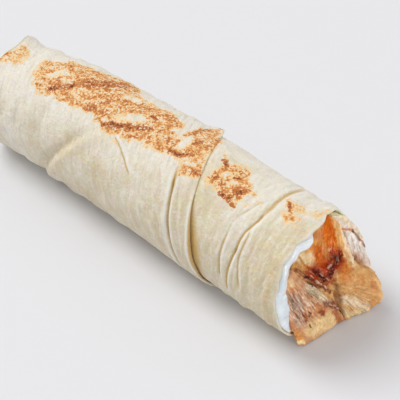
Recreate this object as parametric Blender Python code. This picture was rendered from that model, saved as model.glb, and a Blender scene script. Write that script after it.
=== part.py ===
"""Chicken shawarma wrap lying on its side, cut end open at +X, folded end at -X.

One rolled flatbread holds strips of chicken and a band of white sauce. Lengths are in
metres. Inside the functions a place is given by x, measured from the mouth and negative
towards the folded end, and by turn, the angle round the roll from straight up towards the
front (-Y). The finished wrap is moved so that its box is centred over the origin.
"""

import math

import bmesh
import bpy
from mathutils import Vector, noise

MM = 0.001
DEGREE = math.pi / 180

# The roll
ROLL_RADIUS = 26.2 * MM
AXIS_HEIGHT = 25.2 * MM
MOUTH_X = -2.2 * MM
MOUTH_LEAN = 4.0 * MM
MOUTH_LEAN_TURN = -10 * DEGREE
MOUTH_WAVE = 0.3 * MM
MOUTH_TONGUE = 2.6 * MM
MOUTH_TONGUE_TURN = -3 * DEGREE
MOUTH_TONGUE_WIDTH = 15 * DEGREE
END_X = -174.5 * MM
END_PUFF = 5.0 * MM
END_ROUNDNESS = 0.65  # 1 is a half ellipse; less is flatter with a tighter edge
END_RISE = 1.2 * MM
END_RISE_REACH = 24 * MM
SWELL = 0.5 * MM
SWELL_CENTRE = -95 * MM
SWELL_REACH = 70 * MM
BOW_BACK = 2.2 * MM
BOW_FRONT = 1.6 * MM
NECK = 2.6 * MM
NECK_X = -172 * MM
NECK_REACH = 18 * MM
LUMP = 0.45 * MM
LUMP_LENGTH = 21 * MM

# The sheet and its outer flap, a corner that points to the back
SHEET = 1.3 * MM
FLAP_TIP_X = -85.0 * MM
FLAP_TIP_TURN = -84 * DEGREE
FLAP_HALF_TIP = 4 * MM
FREE_EDGE_REACH = 19.9 * MM  # towards the mouth in the first radian from the tip
FREE_EDGE_POWER = 0.65
HIDDEN_EDGE_SLOPE = 14.3 * MM  # away from the mouth for each radian of turn
FLAP_FADE_START = 128 * DEGREE
FLAP_FADE_END = 158 * DEGREE
EDGE_WIDTH = 0.35 * MM
EDGE_LIFT = 0.9 * MM
SOFT_EDGE_WIDTH = 2.2 * MM
LIFTED_CORNER = 1.9 * MM
LIFTED_CORNER_TURN = -52 * DEGREE

# Pleats that run round the roll
PLEAT_GAP = 11.8 * MM
PLEAT_DEPTH = 1.0 * MM
CREASE_HALF = 1.3 * MM
NEAR_CREASE_X = -24.5 * MM
FAR_CREASE_X = -31.3 * MM
CREASE_DEPTH = 0.8 * MM

# The folded end: a seam from ear to ear, with a corner tucked in beside each ear
EAR = 7.2 * MM
LOW_EAR = 3.0 * MM
EAR_TURN = -44 * DEGREE
EAR_WIDTH = 28 * DEGREE
SEAM_STEP = 1.7 * MM
SEAM_ASIDE = 4.0 * MM
SEAM_WIDTH = 1.2 * MM
TUCK_HALF_TURN = 30 * DEGREE
TUCK_SOFTNESS = 6 * DEGREE
TUCK_DEPTH = 1.5 * MM

# The space inside the bread, a little wider at the mouth. Its stations are rings of points
WALL = 2.3 * MM
LIP = 1.1 * MM
BASE_WALL = 2.0 * MM
CAVITY_STATIONS = [x * MM for x in (-166, -132, -98, -66, -37, -14)]
GAP = 0.3 * MM

# White sauce, a band along the front wall
SAUCE_FROM = 8 * DEGREE
SAUCE_TO = 138 * DEGREE
SAUCE_PEAK = 93 * DEGREE
SAUCE_THICK = 7.2 * MM
SAUCE_THIN = 3.0 * MM
SAUCE_EDGE = 0.7 * MM
SAUCE_BULGE = 1.8 * MM
SAUCE_MARGIN = 6 * DEGREE

# Where the pieces of chicken meet in the mouth, as (Y, Z) seen from the open end
MEET_TOP = (9.5 * MM, 51 * MM)
MEET_NOTCH = (14.6 * MM, 26 * MM)
MEET_RIGHT = (24.0 * MM, 17 * MM)
MEET_SAUCE = (-15.0 * MM, 40 * MM)
MEET_MIDDLE = (2.0 * MM, 14.6 * MM)
MEET_BASE = (7.0 * MM, 1.0 * MM)
SCRAP_TOP = (14.2 * MM, 35 * MM)
SCRAP_FOOT = (21.5 * MM, 20 * MM)
SLICE_CLEARANCE = 0.5 * MM

# How the chicken spreads or narrows once it is past the bread, as (how far, turn, width)
SPREAD_START = 0.6 * MM
SPREAD_END = 3.6 * MM
SPREADS = (
    (7.2 * MM, -135 * DEGREE, 25 * DEGREE),
    (5.5 * MM, 149 * DEGREE, 18 * DEGREE),
    (-3.0 * MM, -88 * DEGREE, 25 * DEGREE),
)
FLOOR_CLEARANCE = 0.5 * MM

# Mesh fineness
BREAD_COLUMNS = 80
CAP_ROWS = 8
CORNER_POWER = 10


def smooth(value, start, end):
    """0 before start, 1 after end and a smooth rise between."""
    share = min(1.0, max(0.0, (value - start) / (end - start)))
    return share * share * (3 - 2 * share)


def bell(value, centre, width):
    return math.exp(-(((value - centre) / width) ** 2))


def wrapped(turn, start):
    """The same direction, as an angle in the turn that begins at start."""
    return start + (turn - start) % (2 * math.pi)


def turn_between(turn, centre):
    """The signed angle from centre to turn, the short way round."""
    return wrapped(turn - centre, -math.pi)


def grained(x, turn, length, seed):
    """Noise from -1 to 1 that closes on itself round the roll."""
    ring = ROLL_RADIUS / length
    return noise.noise(
        Vector((x / length + seed, math.cos(turn) * ring, math.sin(turn) * ring + seed))
    )


def axis_y(x):
    """The roll bows to the back in its middle and to the front at its folded end."""
    middle = bell(x, SWELL_CENTRE, SWELL_REACH)
    far = 1 - smooth(x, END_X, SWELL_CENTRE - 30 * MM)
    return BOW_BACK * middle - BOW_FRONT * far


def mouth_line(turn):
    wave = MOUTH_WAVE * math.sin(3 * turn + 0.8)
    tongue = MOUTH_TONGUE * bell(turn_between(turn, MOUTH_TONGUE_TURN), 0, MOUTH_TONGUE_WIDTH)
    return MOUTH_X - MOUTH_LEAN * math.cos(turn - MOUTH_LEAN_TURN) + wave + tongue


def end_line(turn):
    """The folded end's rim, drawn out at the two ends of its seam."""
    high = EAR * bell(turn_between(turn, EAR_TURN), 0, EAR_WIDTH)
    low = LOW_EAR * bell(turn_between(turn, EAR_TURN + math.pi), 0, EAR_WIDTH)
    return END_X - high - low


def flap_edges(turn):
    """(hidden edge, free edge) of the outer flap at this turn, brought back together underneath."""
    along = wrapped(turn, FLAP_TIP_TURN) - FLAP_TIP_TURN
    last = FLAP_FADE_END - FLAP_TIP_TURN
    back = smooth(along, last, 2 * math.pi)
    reach = min(along, last) * (1 - back)
    free = FLAP_TIP_X + math.hypot(FLAP_HALF_TIP, FREE_EDGE_REACH * reach**FREE_EDGE_POWER)
    hidden = FLAP_TIP_X - math.hypot(FLAP_HALF_TIP, HIDDEN_EDGE_SLOPE * reach)
    return hidden, free


def pleat_line(turn):
    hidden, free = flap_edges(turn)
    return free - min(PLEAT_GAP, 0.4 * (free - hidden))


def near_crease_line(turn):
    return NEAR_CREASE_X + 1.8 * MM * math.cos(turn + 30 * DEGREE)


def far_crease_line(turn):
    return FAR_CREASE_X + 0.6 * MM * math.sin(2 * turn)


def flap_present(turn):
    """1 where the flap lies on the roll, 0 under the roll and past the flap's tip."""
    along = wrapped(turn, FLAP_TIP_TURN)
    return smooth(along, FLAP_TIP_TURN, FLAP_TIP_TURN + 6 * DEGREE) * (
        1 - smooth(along, FLAP_FADE_START, FLAP_FADE_END)
    )


def flap_height(x, turn):
    hidden, free = flap_edges(turn)
    rise = smooth(x, hidden - SOFT_EDGE_WIDTH, hidden + SOFT_EDGE_WIDTH)
    fall = 1 - smooth(x, free - EDGE_WIDTH, free + EDGE_WIDTH)
    lift = LIFTED_CORNER * bell(turn_between(turn, LIFTED_CORNER_TURN), 0, 11 * DEGREE)
    lift += EDGE_LIFT * front_only(turn, 45 * DEGREE, 140 * DEGREE)
    lift *= bell(x, free, 7 * MM)
    return (SHEET + lift) * rise * fall * flap_present(turn)


def front_only(turn, start, end):
    """1 between two turns on the visible side, with soft ends."""
    soft = 14 * DEGREE
    here = wrapped(turn, -math.pi)
    return smooth(here, start - soft, start + soft) * (1 - smooth(here, end - soft, end + soft))


def pleat_height(x, turn):
    """The sharp pleat beside the free edge, with lower ridges between the two."""
    line = pleat_line(turn)
    hidden, free = flap_edges(turn)
    where = front_only(turn, 34 * DEGREE, 130 * DEGREE)
    groove = -PLEAT_DEPTH * bell(x, line, 0.8 * CREASE_HALF)
    beside = 0.5 * PLEAT_DEPTH * bell(x, line + 2.2 * CREASE_HALF, CREASE_HALF)
    ripple = 0.3 * MM * math.sin((x - line) / (free - line) * 3 * math.pi)
    ripple *= smooth(x, line, line + CREASE_HALF) * (1 - smooth(x, free - CREASE_HALF, free))
    return where * (groove + beside + ripple)


def crease_height(x, turn):
    """Two creases near the mouth, each a groove with a raised side towards the mouth."""
    height = 0.0
    for line, start, end in (
        (near_crease_line(turn), -20 * DEGREE, 122 * DEGREE),
        (far_crease_line(turn), 22 * DEGREE, 116 * DEGREE),
    ):
        groove = -CREASE_DEPTH * bell(x, line, 0.8 * CREASE_HALF)
        raised = 0.6 * CREASE_DEPTH * bell(x, line + 2 * CREASE_HALF, 1.4 * CREASE_HALF)
        height += front_only(turn, start, end) * (groove + raised)
    return height


def outer_radius(x, turn):
    swell = SWELL * bell(x, SWELL_CENTRE, SWELL_REACH)
    neck = NECK * bell(x, NECK_X, NECK_REACH) * (0.5 + 0.5 * math.cos(turn - EAR_TURN))
    lumps = LUMP * grained(x, turn, LUMP_LENGTH, 3.0)
    return (
        ROLL_RADIUS
        + swell
        - neck
        + lumps
        + flap_height(x, turn)
        + pleat_height(x, turn)
        + crease_height(x, turn)
    )


def on_roll(x, turn, radius, lowest=0.0):
    """The point at this x, turn and radius, pressed flat where it would go below lowest."""
    y = axis_y(x) - radius * math.sin(turn)
    z = AXIS_HEIGHT + radius * math.cos(turn)
    return Vector((x, y, max(lowest, z)))


def spaced(start, end, count):
    """The count places between start and end, both left out."""
    return [start + (end - start) * (i + 1) / (count + 1) for i in range(count)]


def bread_lines(turn):
    """Where the rows of the bread's outer side cross this turn, from the folded end to the mouth."""
    first, last = end_line(turn), mouth_line(turn)
    hidden, free = flap_edges(turn)
    pleat = pleat_line(turn)
    far_crease, near_crease = far_crease_line(turn), near_crease_line(turn)
    lines = [first]
    for centre, half, middle, before in (
        (hidden, 0.8 * SOFT_EDGE_WIDTH, False, 7),
        (pleat, CREASE_HALF, True, 5),
        (free, EDGE_WIDTH, False, 2),
        (far_crease, CREASE_HALF, True, 2),
        (near_crease, CREASE_HALF, True, 1),
    ):
        lines += spaced(lines[-1], centre - half, before)
        lines.append(centre - half)
        if middle:
            lines.append(centre)
        lines.append(centre + half)
    lines += spaced(lines[-1], last, 4)
    lines.append(last)
    return lines


def end_fold(turn, share):
    """How far the folded end stands out: one side laps over the other, and the corners tuck in."""
    from_seam = turn_between(turn, EAR_TURN)
    aside = share * ROLL_RADIUS * math.sin(from_seam) - SEAM_ASIDE
    lap = SEAM_STEP * smooth(aside, -SEAM_WIDTH, SEAM_WIDTH)
    corner = min(abs(from_seam), math.pi - abs(from_seam))
    start, end = TUCK_HALF_TURN - TUCK_SOFTNESS, TUCK_HALF_TURN + TUCK_SOFTNESS
    tuck = TUCK_DEPTH * (1 - smooth(corner, start, end)) * smooth(share, 0.3, 0.55)
    return (lap - tuck) * (1 - smooth(share, 0.82, 1.0))


def end_point(turn, row):
    """A point of the folded end: row 0 is its middle and row CAP_ROWS the roll's edge."""
    tilt = row / CAP_ROWS * math.pi / 2
    share = math.sin(tilt) ** END_ROUNDNESS
    edge = end_line(turn)
    x = END_X + (edge - END_X) * share - END_PUFF * math.cos(tilt) ** END_ROUNDNESS
    x -= end_fold(turn, share)
    radius = outer_radius(edge, turn) * share
    return on_roll(x, turn, radius, END_RISE * (1 + 4 * (1 - share)))


def cavity_radius(turn):
    """The space inside the bread, flat at its base."""
    radius = ROLL_RADIUS - WALL
    down = -math.cos(turn)
    if down <= 0:
        return radius
    return min(radius, (AXIS_HEIGHT - BASE_WALL) / down)


def section_point(turn, radius):
    """(Y, Z) of the section's point at this turn and radius, before the roll bows."""
    return Vector((-radius * math.sin(turn), AXIS_HEIGHT + radius * math.cos(turn)))


def turn_of(flat):
    return math.atan2(-flat.x, flat.y - AXIS_HEIGHT)


def opened(flat, x):
    """A section point after the wall has thinned from its last station to the lip."""
    last = CAVITY_STATIONS[-1]
    share = min(1.0, max(0.0, (x - last) / (mouth_line(turn_of(flat)) - last)))
    widest = (ROLL_RADIUS - LIP) / (ROLL_RADIUS - WALL)
    grown = 1 + (widest - 1) * share
    return Vector((0.0, flat.x * grown, AXIS_HEIGHT + (flat.y - AXIS_HEIGHT) * grown))


def base_lift(x):
    """The underside rises clear of the surface near the folded end."""
    return END_RISE * (1 - smooth(x, END_X, END_X + END_RISE_REACH))


def bread_point(row, turn, rows):
    """The point of this row: the folded end, the outer side, the lip, then the inside."""
    if row <= CAP_ROWS:
        return end_point(turn, row)
    lines = bread_lines(turn)
    outer = row - CAP_ROWS
    if outer < len(lines):
        x = lines[outer]
        return on_roll(x, turn, outer_radius(x, turn), base_lift(x))
    inner = row - CAP_ROWS - len(lines)
    mouth = mouth_line(turn)
    edge = outer_radius(mouth, turn)
    if inner == 0:
        return on_roll(mouth + 0.4 * MM, turn, edge - 0.5 * LIP, 0.5 * LIP)
    if inner == 1:
        flat = section_point(turn, cavity_radius(turn))
        return Vector((mouth, axis_y(mouth), 0.0)) + opened(flat, mouth)
    station = len(CAVITY_STATIONS) - (inner - 1)
    if row == rows:
        return Vector((CAVITY_STATIONS[0], axis_y(CAVITY_STATIONS[0]), AXIS_HEIGHT))
    x = CAVITY_STATIONS[station]
    return on_roll(x, turn, cavity_radius(turn))


def shaped_ball(name, columns, rows, place):
    """A closed mesh from a ball whose rings are moved by place(row, turn)."""
    mesh = bmesh.new()
    bmesh.ops.create_uvsphere(mesh, u_segments=columns, v_segments=rows, radius=1.0)
    for vert in mesh.verts:
        row = round(math.acos(max(-1.0, min(1.0, vert.co.z))) / math.pi * rows)
        turn = math.atan2(vert.co.y, vert.co.x)
        vert.co = place(row, turn)
    return finished(name, mesh)


def finished(name, mesh):
    """The object of a finished bmesh, turned outside out and shaded smooth except over sharp folds."""
    if mesh.calc_volume(signed=True) < 0:
        bmesh.ops.reverse_faces(mesh, faces=mesh.faces)
    data = bpy.data.meshes.new(name)
    mesh.to_mesh(data)
    mesh.free()
    data.shade_smooth()
    data.set_sharp_from_angle(angle=60 * DEGREE)
    return bpy.data.objects.new(name, data)


def flatbread():
    rows = CAP_ROWS + len(bread_lines(0.0)) + 1 + len(CAVITY_STATIONS) + 1
    return shaped_ball(
        "flatbread", BREAD_COLUMNS, rows, lambda row, turn: bread_point(row, turn, rows)
    )


def sauce_thickness(turn):
    """Thin at the top, a thick pool low on the front, and nothing outside its band."""
    here = wrapped(turn, -math.pi)
    if here <= SAUCE_FROM or here >= SAUCE_TO:
        return 0.0
    pool = (SAUCE_THICK - SAUCE_THIN) * bell(here, SAUCE_PEAK, 26 * DEGREE)
    ends = smooth(here, SAUCE_FROM, SAUCE_FROM + 26 * DEGREE)
    ends *= 1 - smooth(here, SAUCE_TO - 30 * DEGREE, SAUCE_TO)
    return SAUCE_EDGE + (SAUCE_THIN + pool - SAUCE_EDGE) * ends


def filling_radius(turn):
    """The space left for the chicken, inside the bread and the sauce."""
    beside = (turn - SAUCE_MARGIN, turn, turn + SAUCE_MARGIN)
    sauce = max(sauce_thickness(place) for place in beside)
    return cavity_radius(turn) - GAP - (sauce + GAP if sauce else 0.0)


def white_sauce():
    """The band of sauce, from a box whose sides are bent round the front wall."""
    steps_round, steps_along = 22, len(CAVITY_STATIONS)
    mesh = bmesh.new()
    bmesh.ops.create_grid(mesh, x_segments=steps_round, y_segments=steps_along, size=0.5)
    shell = bmesh.ops.extrude_face_region(mesh, geom=mesh.faces[:])
    for element in shell["geom"]:
        if isinstance(element, bmesh.types.BMVert):
            element.co.z = 1.0
    for vert in mesh.verts:
        around = vert.co.x + 0.5
        along = round((vert.co.y + 0.5) * steps_along)
        vert.co = sauce_point(around, along, vert.co.z > 0.5)
    return finished("white_sauce", mesh)


def sauce_point(around, along, inside):
    turn = SAUCE_FROM + (SAUCE_TO - SAUCE_FROM) * (0.01 + 0.98 * around)
    thickness = sauce_thickness(turn)
    radius = cavity_radius(turn) - GAP - (thickness if inside else 0.0)
    if along < len(CAVITY_STATIONS):
        x = CAVITY_STATIONS[along] + (WALL if along == 0 else 0.0)
    else:
        bulge = SAUCE_BULGE * smooth(thickness, SAUCE_EDGE, SAUCE_THIN)
        x = mouth_line(turn) + (bulge if inside else 0.0)
    return Vector((x, axis_y(x), 0.0)) + opened(section_point(turn, radius), x)


class Line:
    """A straight joint in the mouth plane. The piece lies on its left, going from start to end."""

    def __init__(self, start, end, shift=0.0):
        across = Vector(end) - Vector(start)
        self.outward = Vector((across.y, -across.x)).normalized()
        self.offset = self.outward.dot(Vector(start)) + shift

    def reach(self, centre, direction):
        """How far the joint is from centre along direction."""
        rate = self.outward.dot(direction)
        if rate <= 1e-6:
            return math.inf
        return (self.offset - GAP / 2 - self.outward.dot(centre)) / rate


class Piece:
    """A strip of chicken: its section in the mouth plane and the form of its head."""

    def __init__(self, name, centre, sides, columns, head, edge_drop):
        self.name = name
        self.centre = Vector(centre)
        self.sides = sides
        self.columns = columns
        self.head = head
        self.edge_drop = edge_drop

    def wall_reach(self, direction):
        """How far the bread or the sauce is from the centre along direction."""
        near, far = 0.0, 3 * ROLL_RADIUS
        for _ in range(40):
            middle = (near + far) / 2
            point = self.centre + direction * middle
            if math.hypot(point.x, point.y - AXIS_HEIGHT) < filling_radius(turn_of(point)):
                near = middle
            else:
                far = middle
        return near

    def outline(self, around):
        """The section's edge in the direction around, with its corners rounded."""
        direction = Vector((math.cos(around), math.sin(around)))
        reaches = [self.wall_reach(direction)]
        for side in self.sides:
            reaches.append(max(line.reach(self.centre, direction) for line in side))
        total = sum((1 / reach) ** CORNER_POWER for reach in reaches)
        return direction * total ** (-1 / CORNER_POWER)

    def place(self, row, around):
        """Rows run from the hidden end, past the bread's stations, to the middle of the head."""
        edge = self.outline(around)
        if row == 0:
            return self.along(CAVITY_STATIONS[0] + WALL, self.centre)
        if row <= len(CAVITY_STATIONS):
            x = CAVITY_STATIONS[row - 1] + (WALL if row == 1 else 0.0)
            return self.along(x, self.centre + edge)
        step = row - len(CAVITY_STATIONS) - 1
        if step < len(RIM_ROWS):
            return self.along(self.rim_x(edge, RIM_ROWS[step]), self.centre + edge)
        share, drop = HEAD_ROWS[step - len(RIM_ROWS)]
        return self.head_point(edge, share, drop)

    def rim_x(self, edge, beyond):
        """The x of a row that lies beyond the bread's rim, or just short of the head's edge."""
        point = self.centre + edge
        short = (1.04 + 0.04 * (beyond == 0)) * self.edge_drop
        return min(mouth_line(turn_of(point)) + beyond, self.head(point) - short)

    def head_point(self, edge, share, drop):
        """A point of the head: share 1 is its edge and 0 its middle."""
        flat = self.centre + edge * share
        uneven = 0.5 * MM * noise.noise(Vector((flat.x, flat.y, 0.0)) / (5 * MM))
        x = self.head(flat) - drop * self.edge_drop + uneven * (1 - drop)
        return self.along(x, spread(flat, x))

    def along(self, x, flat):
        point = Vector((x, axis_y(x), 0.0)) + opened(flat, x)
        point.z = max(FLOOR_CLEARANCE, point.z)
        return point

    def build(self):
        rows = len(CAVITY_STATIONS) + len(RIM_ROWS) + len(HEAD_ROWS)
        return shaped_ball(self.name, self.columns, rows, self.place)


# How far beyond the bread's rim the last straight rows lie
RIM_ROWS = [0.0, SPREAD_START]

# (share of the way out from the middle, share of the rounded edge's depth)
HEAD_ROWS = [
    (1.0, 1.0),
    (0.985, 0.6),
    (0.95, 0.3),
    (0.88, 0.1),
    (0.76, 0.0),
    (0.6, 0.0),
    (0.42, 0.0),
    (0.22, 0.0),
    (0.0, 0.0),
]


def spread(flat, x):
    """The place in the mouth plane of a point of chicken that is past the bread's rim."""
    across, up = flat.x, flat.y - AXIS_HEIGHT
    radius = math.hypot(across, up)
    turn = turn_of(flat)
    free = smooth(x, mouth_line(turn) + SPREAD_START, mouth_line(turn) + SPREAD_END)
    push = sum(far * bell(turn_between(turn, middle), 0, width) for far, middle, width in SPREADS)
    grown = 1 + push * free * (radius / ROLL_RADIUS) / ROLL_RADIUS
    return Vector((across * grown, AXIS_HEIGHT + up * grown))


def mound(flat, centre, width):
    """A round rise in the mouth plane, 1 at centre."""
    return bell((flat - Vector(centre)).length, 0, width)


def glazed_head(flat):
    """A slab that leans out of the mouth, with a thick golden end low at the back."""
    slope = 11.0 * MM + 0.12 * flat.x - 0.30 * flat.y
    end = 9.5 * MM * mound(flat, (20.5 * MM, 8 * MM), 10 * MM)
    ridge = 3 * MM * mound(flat, (14 * MM, 24 * MM), 5 * MM)
    return slope + end + ridge


def tan_head(flat):
    return 10.2 * MM + 0.22 * flat.x - 0.26 * flat.y


def slice_head(flat):
    """Short at the top, then longer and longer towards its foot."""
    return 1.5 * MM + 0.85 * max(0.0, 32 * MM - flat.y)


def scrap_head(flat):
    return 4.5 * MM + 0.1 * flat.x


def chicken():
    """The pieces of chicken that show in the mouth, each a strip that runs down the roll."""
    front = [Line(MEET_SAUCE, MEET_MIDDLE), Line(MEET_MIDDLE, MEET_BASE)]
    front_back = [Line(MEET_MIDDLE, MEET_SAUCE), Line(MEET_BASE, MEET_MIDDLE)]
    upright = Line(MEET_NOTCH, MEET_TOP)
    upright_back = Line(MEET_TOP, MEET_NOTCH)
    low = Line(MEET_RIGHT, MEET_NOTCH)
    low_back = Line(MEET_NOTCH, MEET_RIGHT)
    above_scrap = Line(SCRAP_TOP, SCRAP_FOOT, -SLICE_CLEARANCE)
    above_scrap_back = Line(SCRAP_FOOT, SCRAP_TOP)
    return [
        Piece("chicken_glazed", (5 * MM, 27 * MM), [front, [upright, low]], 48, glazed_head, 2.2 * MM),
        Piece("chicken_tan", (-7 * MM, 13 * MM), [[line] for line in front_back], 36, tan_head, 1.6 * MM),
        Piece(
            "chicken_slice",
            (18.5 * MM, 32 * MM),
            [[upright_back], [above_scrap], [low_back]],
            32,
            slice_head,
            1.2 * MM,
        ),
        Piece(
            "chicken_scrap",
            (16 * MM, 27 * MM),
            [[upright_back], [low_back], [above_scrap_back]],
            24,
            scrap_head,
            0.8 * MM,
        ),
    ]


# name: (red, green, blue, roughness)
FINISHES = {
    "flatbread": (0.80, 0.73, 0.60, 0.75),
    "white_sauce": (0.88, 0.89, 0.88, 0.25),
    "chicken_glazed": (0.55, 0.22, 0.06, 0.35),
    "chicken_tan": (0.60, 0.36, 0.20, 0.40),
    "chicken_slice": (0.72, 0.66, 0.60, 0.45),
    "chicken_scrap": (0.40, 0.24, 0.15, 0.50),
}


def dress(piece):
    red, green, blue, roughness = FINISHES[piece.name]
    material = bpy.data.materials.new(piece.name)
    material.use_nodes = True
    shader = material.node_tree.nodes["Principled BSDF"]
    shader.inputs["Base Color"].default_value = (red, green, blue, 1.0)
    shader.inputs["Roughness"].default_value = roughness
    piece.data.materials.append(material)


def centre_over_origin(pieces):
    """Moves all the points alike, so that the box's middle is at x = y = 0."""
    points = [vert.co for piece in pieces for vert in piece.data.vertices]
    shift = Vector((0.0, 0.0, 0.0))
    for side in (0, 1):
        values = [point[side] for point in points]
        shift[side] = -(min(values) + max(values)) / 2
    for point in points:
        point += shift


def main():
    for old in list(bpy.data.objects):
        bpy.data.objects.remove(old)
    wrap = bpy.data.collections.new("shawarma_wrap")
    bpy.context.scene.collection.children.link(wrap)
    pieces = [flatbread(), white_sauce()]
    pieces += [piece.build() for piece in chicken()]
    centre_over_origin(pieces)
    for piece in pieces:
        dress(piece)
        wrap.objects.link(piece)


main()
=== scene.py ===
"""The look of a chicken shawarma wrap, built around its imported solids.

Lengths in the classes are in millimetres, in the roll's own frame: x is measured from the mouth
and is negative towards the folded end, y is across the roll and z is up from the floor. The
angle round the roll, its turn, is 0 straight up and grows towards the front (-y). Meshes are
made in metres, in the frame of the solids.
"""

import itertools
import logging
import math
from dataclasses import dataclass, field
from enum import Enum
from typing import Sequence

import bpy
import numpy as np
from mathutils import Matrix, Vector


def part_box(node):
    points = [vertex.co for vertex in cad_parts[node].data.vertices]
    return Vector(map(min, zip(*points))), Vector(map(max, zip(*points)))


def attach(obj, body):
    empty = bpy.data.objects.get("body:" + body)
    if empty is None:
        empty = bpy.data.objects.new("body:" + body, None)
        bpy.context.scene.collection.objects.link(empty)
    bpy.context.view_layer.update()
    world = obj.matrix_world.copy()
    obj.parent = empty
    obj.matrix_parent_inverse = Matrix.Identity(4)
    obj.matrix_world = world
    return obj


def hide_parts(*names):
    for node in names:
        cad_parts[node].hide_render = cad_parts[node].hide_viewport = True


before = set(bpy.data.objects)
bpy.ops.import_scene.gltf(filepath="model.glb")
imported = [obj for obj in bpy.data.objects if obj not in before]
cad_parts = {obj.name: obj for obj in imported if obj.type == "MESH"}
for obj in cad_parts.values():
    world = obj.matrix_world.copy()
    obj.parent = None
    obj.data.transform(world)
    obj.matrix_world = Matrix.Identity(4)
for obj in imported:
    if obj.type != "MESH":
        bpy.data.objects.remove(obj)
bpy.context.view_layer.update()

MM = 0.001
BODY = "root"
# The heights of the roll's axis and of the flat base of the space inside it.
AXIS_Z, INNER_FLOOR = 25.2, 2.0
log = logging.getLogger("shawarma_wrap")

Array = np.ndarray
Colour = tuple[float, float, float]
Rows = tuple[tuple[float, float, float], ...]
Pair = tuple[float, float]
Piece = bpy.types.Object
Socket = bpy.types.NodeSocket
Fed = "Socket | float | Colour"


def degrees(value: float) -> float:
    """An angle in degrees, as radians."""
    return value * math.pi / 180


def smooth(value: Array, start: float, end: float) -> Array:
    """A smooth rise: 0 before start, 1 past end and an S-shaped rise between."""
    share = np.clip((value - start) / (end - start), 0.0, 1.0)
    return share * share * (3 - 2 * share)


def bell(value: Array, centre: float, width: float) -> Array:
    """A round bump that is 1 at centre and falls off over width."""
    return np.exp(-(((value - centre) / width) ** 2))


def turn_between(turn: Array, centre: float) -> Array:
    """The signed angle from centre to turn, the short way round."""
    return (turn - centre + math.pi) % (2 * math.pi) - math.pi


def hump(turn: Array, centre: float, width: float) -> Array:
    """A round bump over turns, its centre and width in degrees."""
    return bell(turn_between(turn, degrees(centre)), 0.0, degrees(width))


def humps(turn: Array, rows: Rows) -> Array:
    """Bumps over turns added up, each given by its height, centre and width."""
    return sum(height * hump(turn, centre, width) for height, centre, width in rows)


def waves(turn: Array, rows: Rows) -> Array:
    """Waves over turns added up, each given by its height, count and phase."""
    return sum(height * np.sin(count * turn + phase) for height, count, phase in rows)


def front(turn: Array, start: float, end: float, soft: float = 14.0) -> Array:
    """Where turns are between two.

    Args:
        turn: The turns.
        start: The first of the two, in degrees.
        end: The second.
        soft: How soft the change is at both, in degrees.

    Returns:
        1 between the two and 0 outside them.
    """
    edge = degrees(soft)
    here = turn_between(turn, 0.0)
    begun = smooth(here, degrees(start) - edge, degrees(start) + edge)
    return begun * (1 - smooth(here, degrees(end) - edge, degrees(end) + edge))


def eye(*parts: float) -> Colour:
    """A colour as the eye sees it, its parts from 0 to 255, made linear."""
    shares = [part / 255 for part in parts]
    return tuple(share / 12.92 if share <= 0.04045 else ((share + 0.055) / 1.055) ** 2.4 for share in shares)


def each(kind: type, *rows: tuple) -> tuple:
    """One thing of a kind from each row of its values."""
    return tuple(kind(*row) for row in rows)


class Grain:
    """Smooth gradient noise in space, from about -1 to 1, the same on each run."""

    def __init__(self, seed: int) -> None:
        """Draws the noise's slopes.

        Args:
            seed: The seed they are drawn with.
        """
        rng = np.random.default_rng(seed)
        self.order = np.tile(rng.permutation(256), 3)
        slopes = rng.normal(size=(256, 3))
        self.slopes = slopes / np.linalg.norm(slopes, axis=1, keepdims=True)

    def at(self, points: Array, size: float) -> Array:
        """The noise at points.

        Args:
            points: Places, three numbers each in the last axis.
            size: The size of the noise's bumps.

        Returns:
            One value for each place.
        """
        scaled = points / size
        cell = np.floor(scaled).astype(int)
        part = scaled - cell
        fade = part**3 * (part * (6 * part - 15) + 10)
        total = np.zeros(points.shape[:-1])
        for corner in itertools.product((0, 1), repeat=3):
            place = (cell + corner) & 255
            index = self.order[self.order[self.order[place[..., 0]] + place[..., 1]] + place[..., 2]]
            value = ((part - corner) * self.slopes[index]).sum(-1)
            total += np.prod(np.where(corner, fade, 1 - fade), axis=-1) * value
        return 1.7 * total

    def layered(self, points: Array, size: float, layers: int = 3) -> Array:
        """Noise with finer and weaker noise added to it."""
        return sum(0.5**i * self.at(points + 37.0 * i, size / 2**i) for i in range(layers))

    def mixed(self, points: Array, rows: Rows) -> Array:
        """Noises added up, each given by its height, how far away it is read and its size."""
        return sum(height * self.at(points + away, size) for height, away, size in rows)


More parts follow.
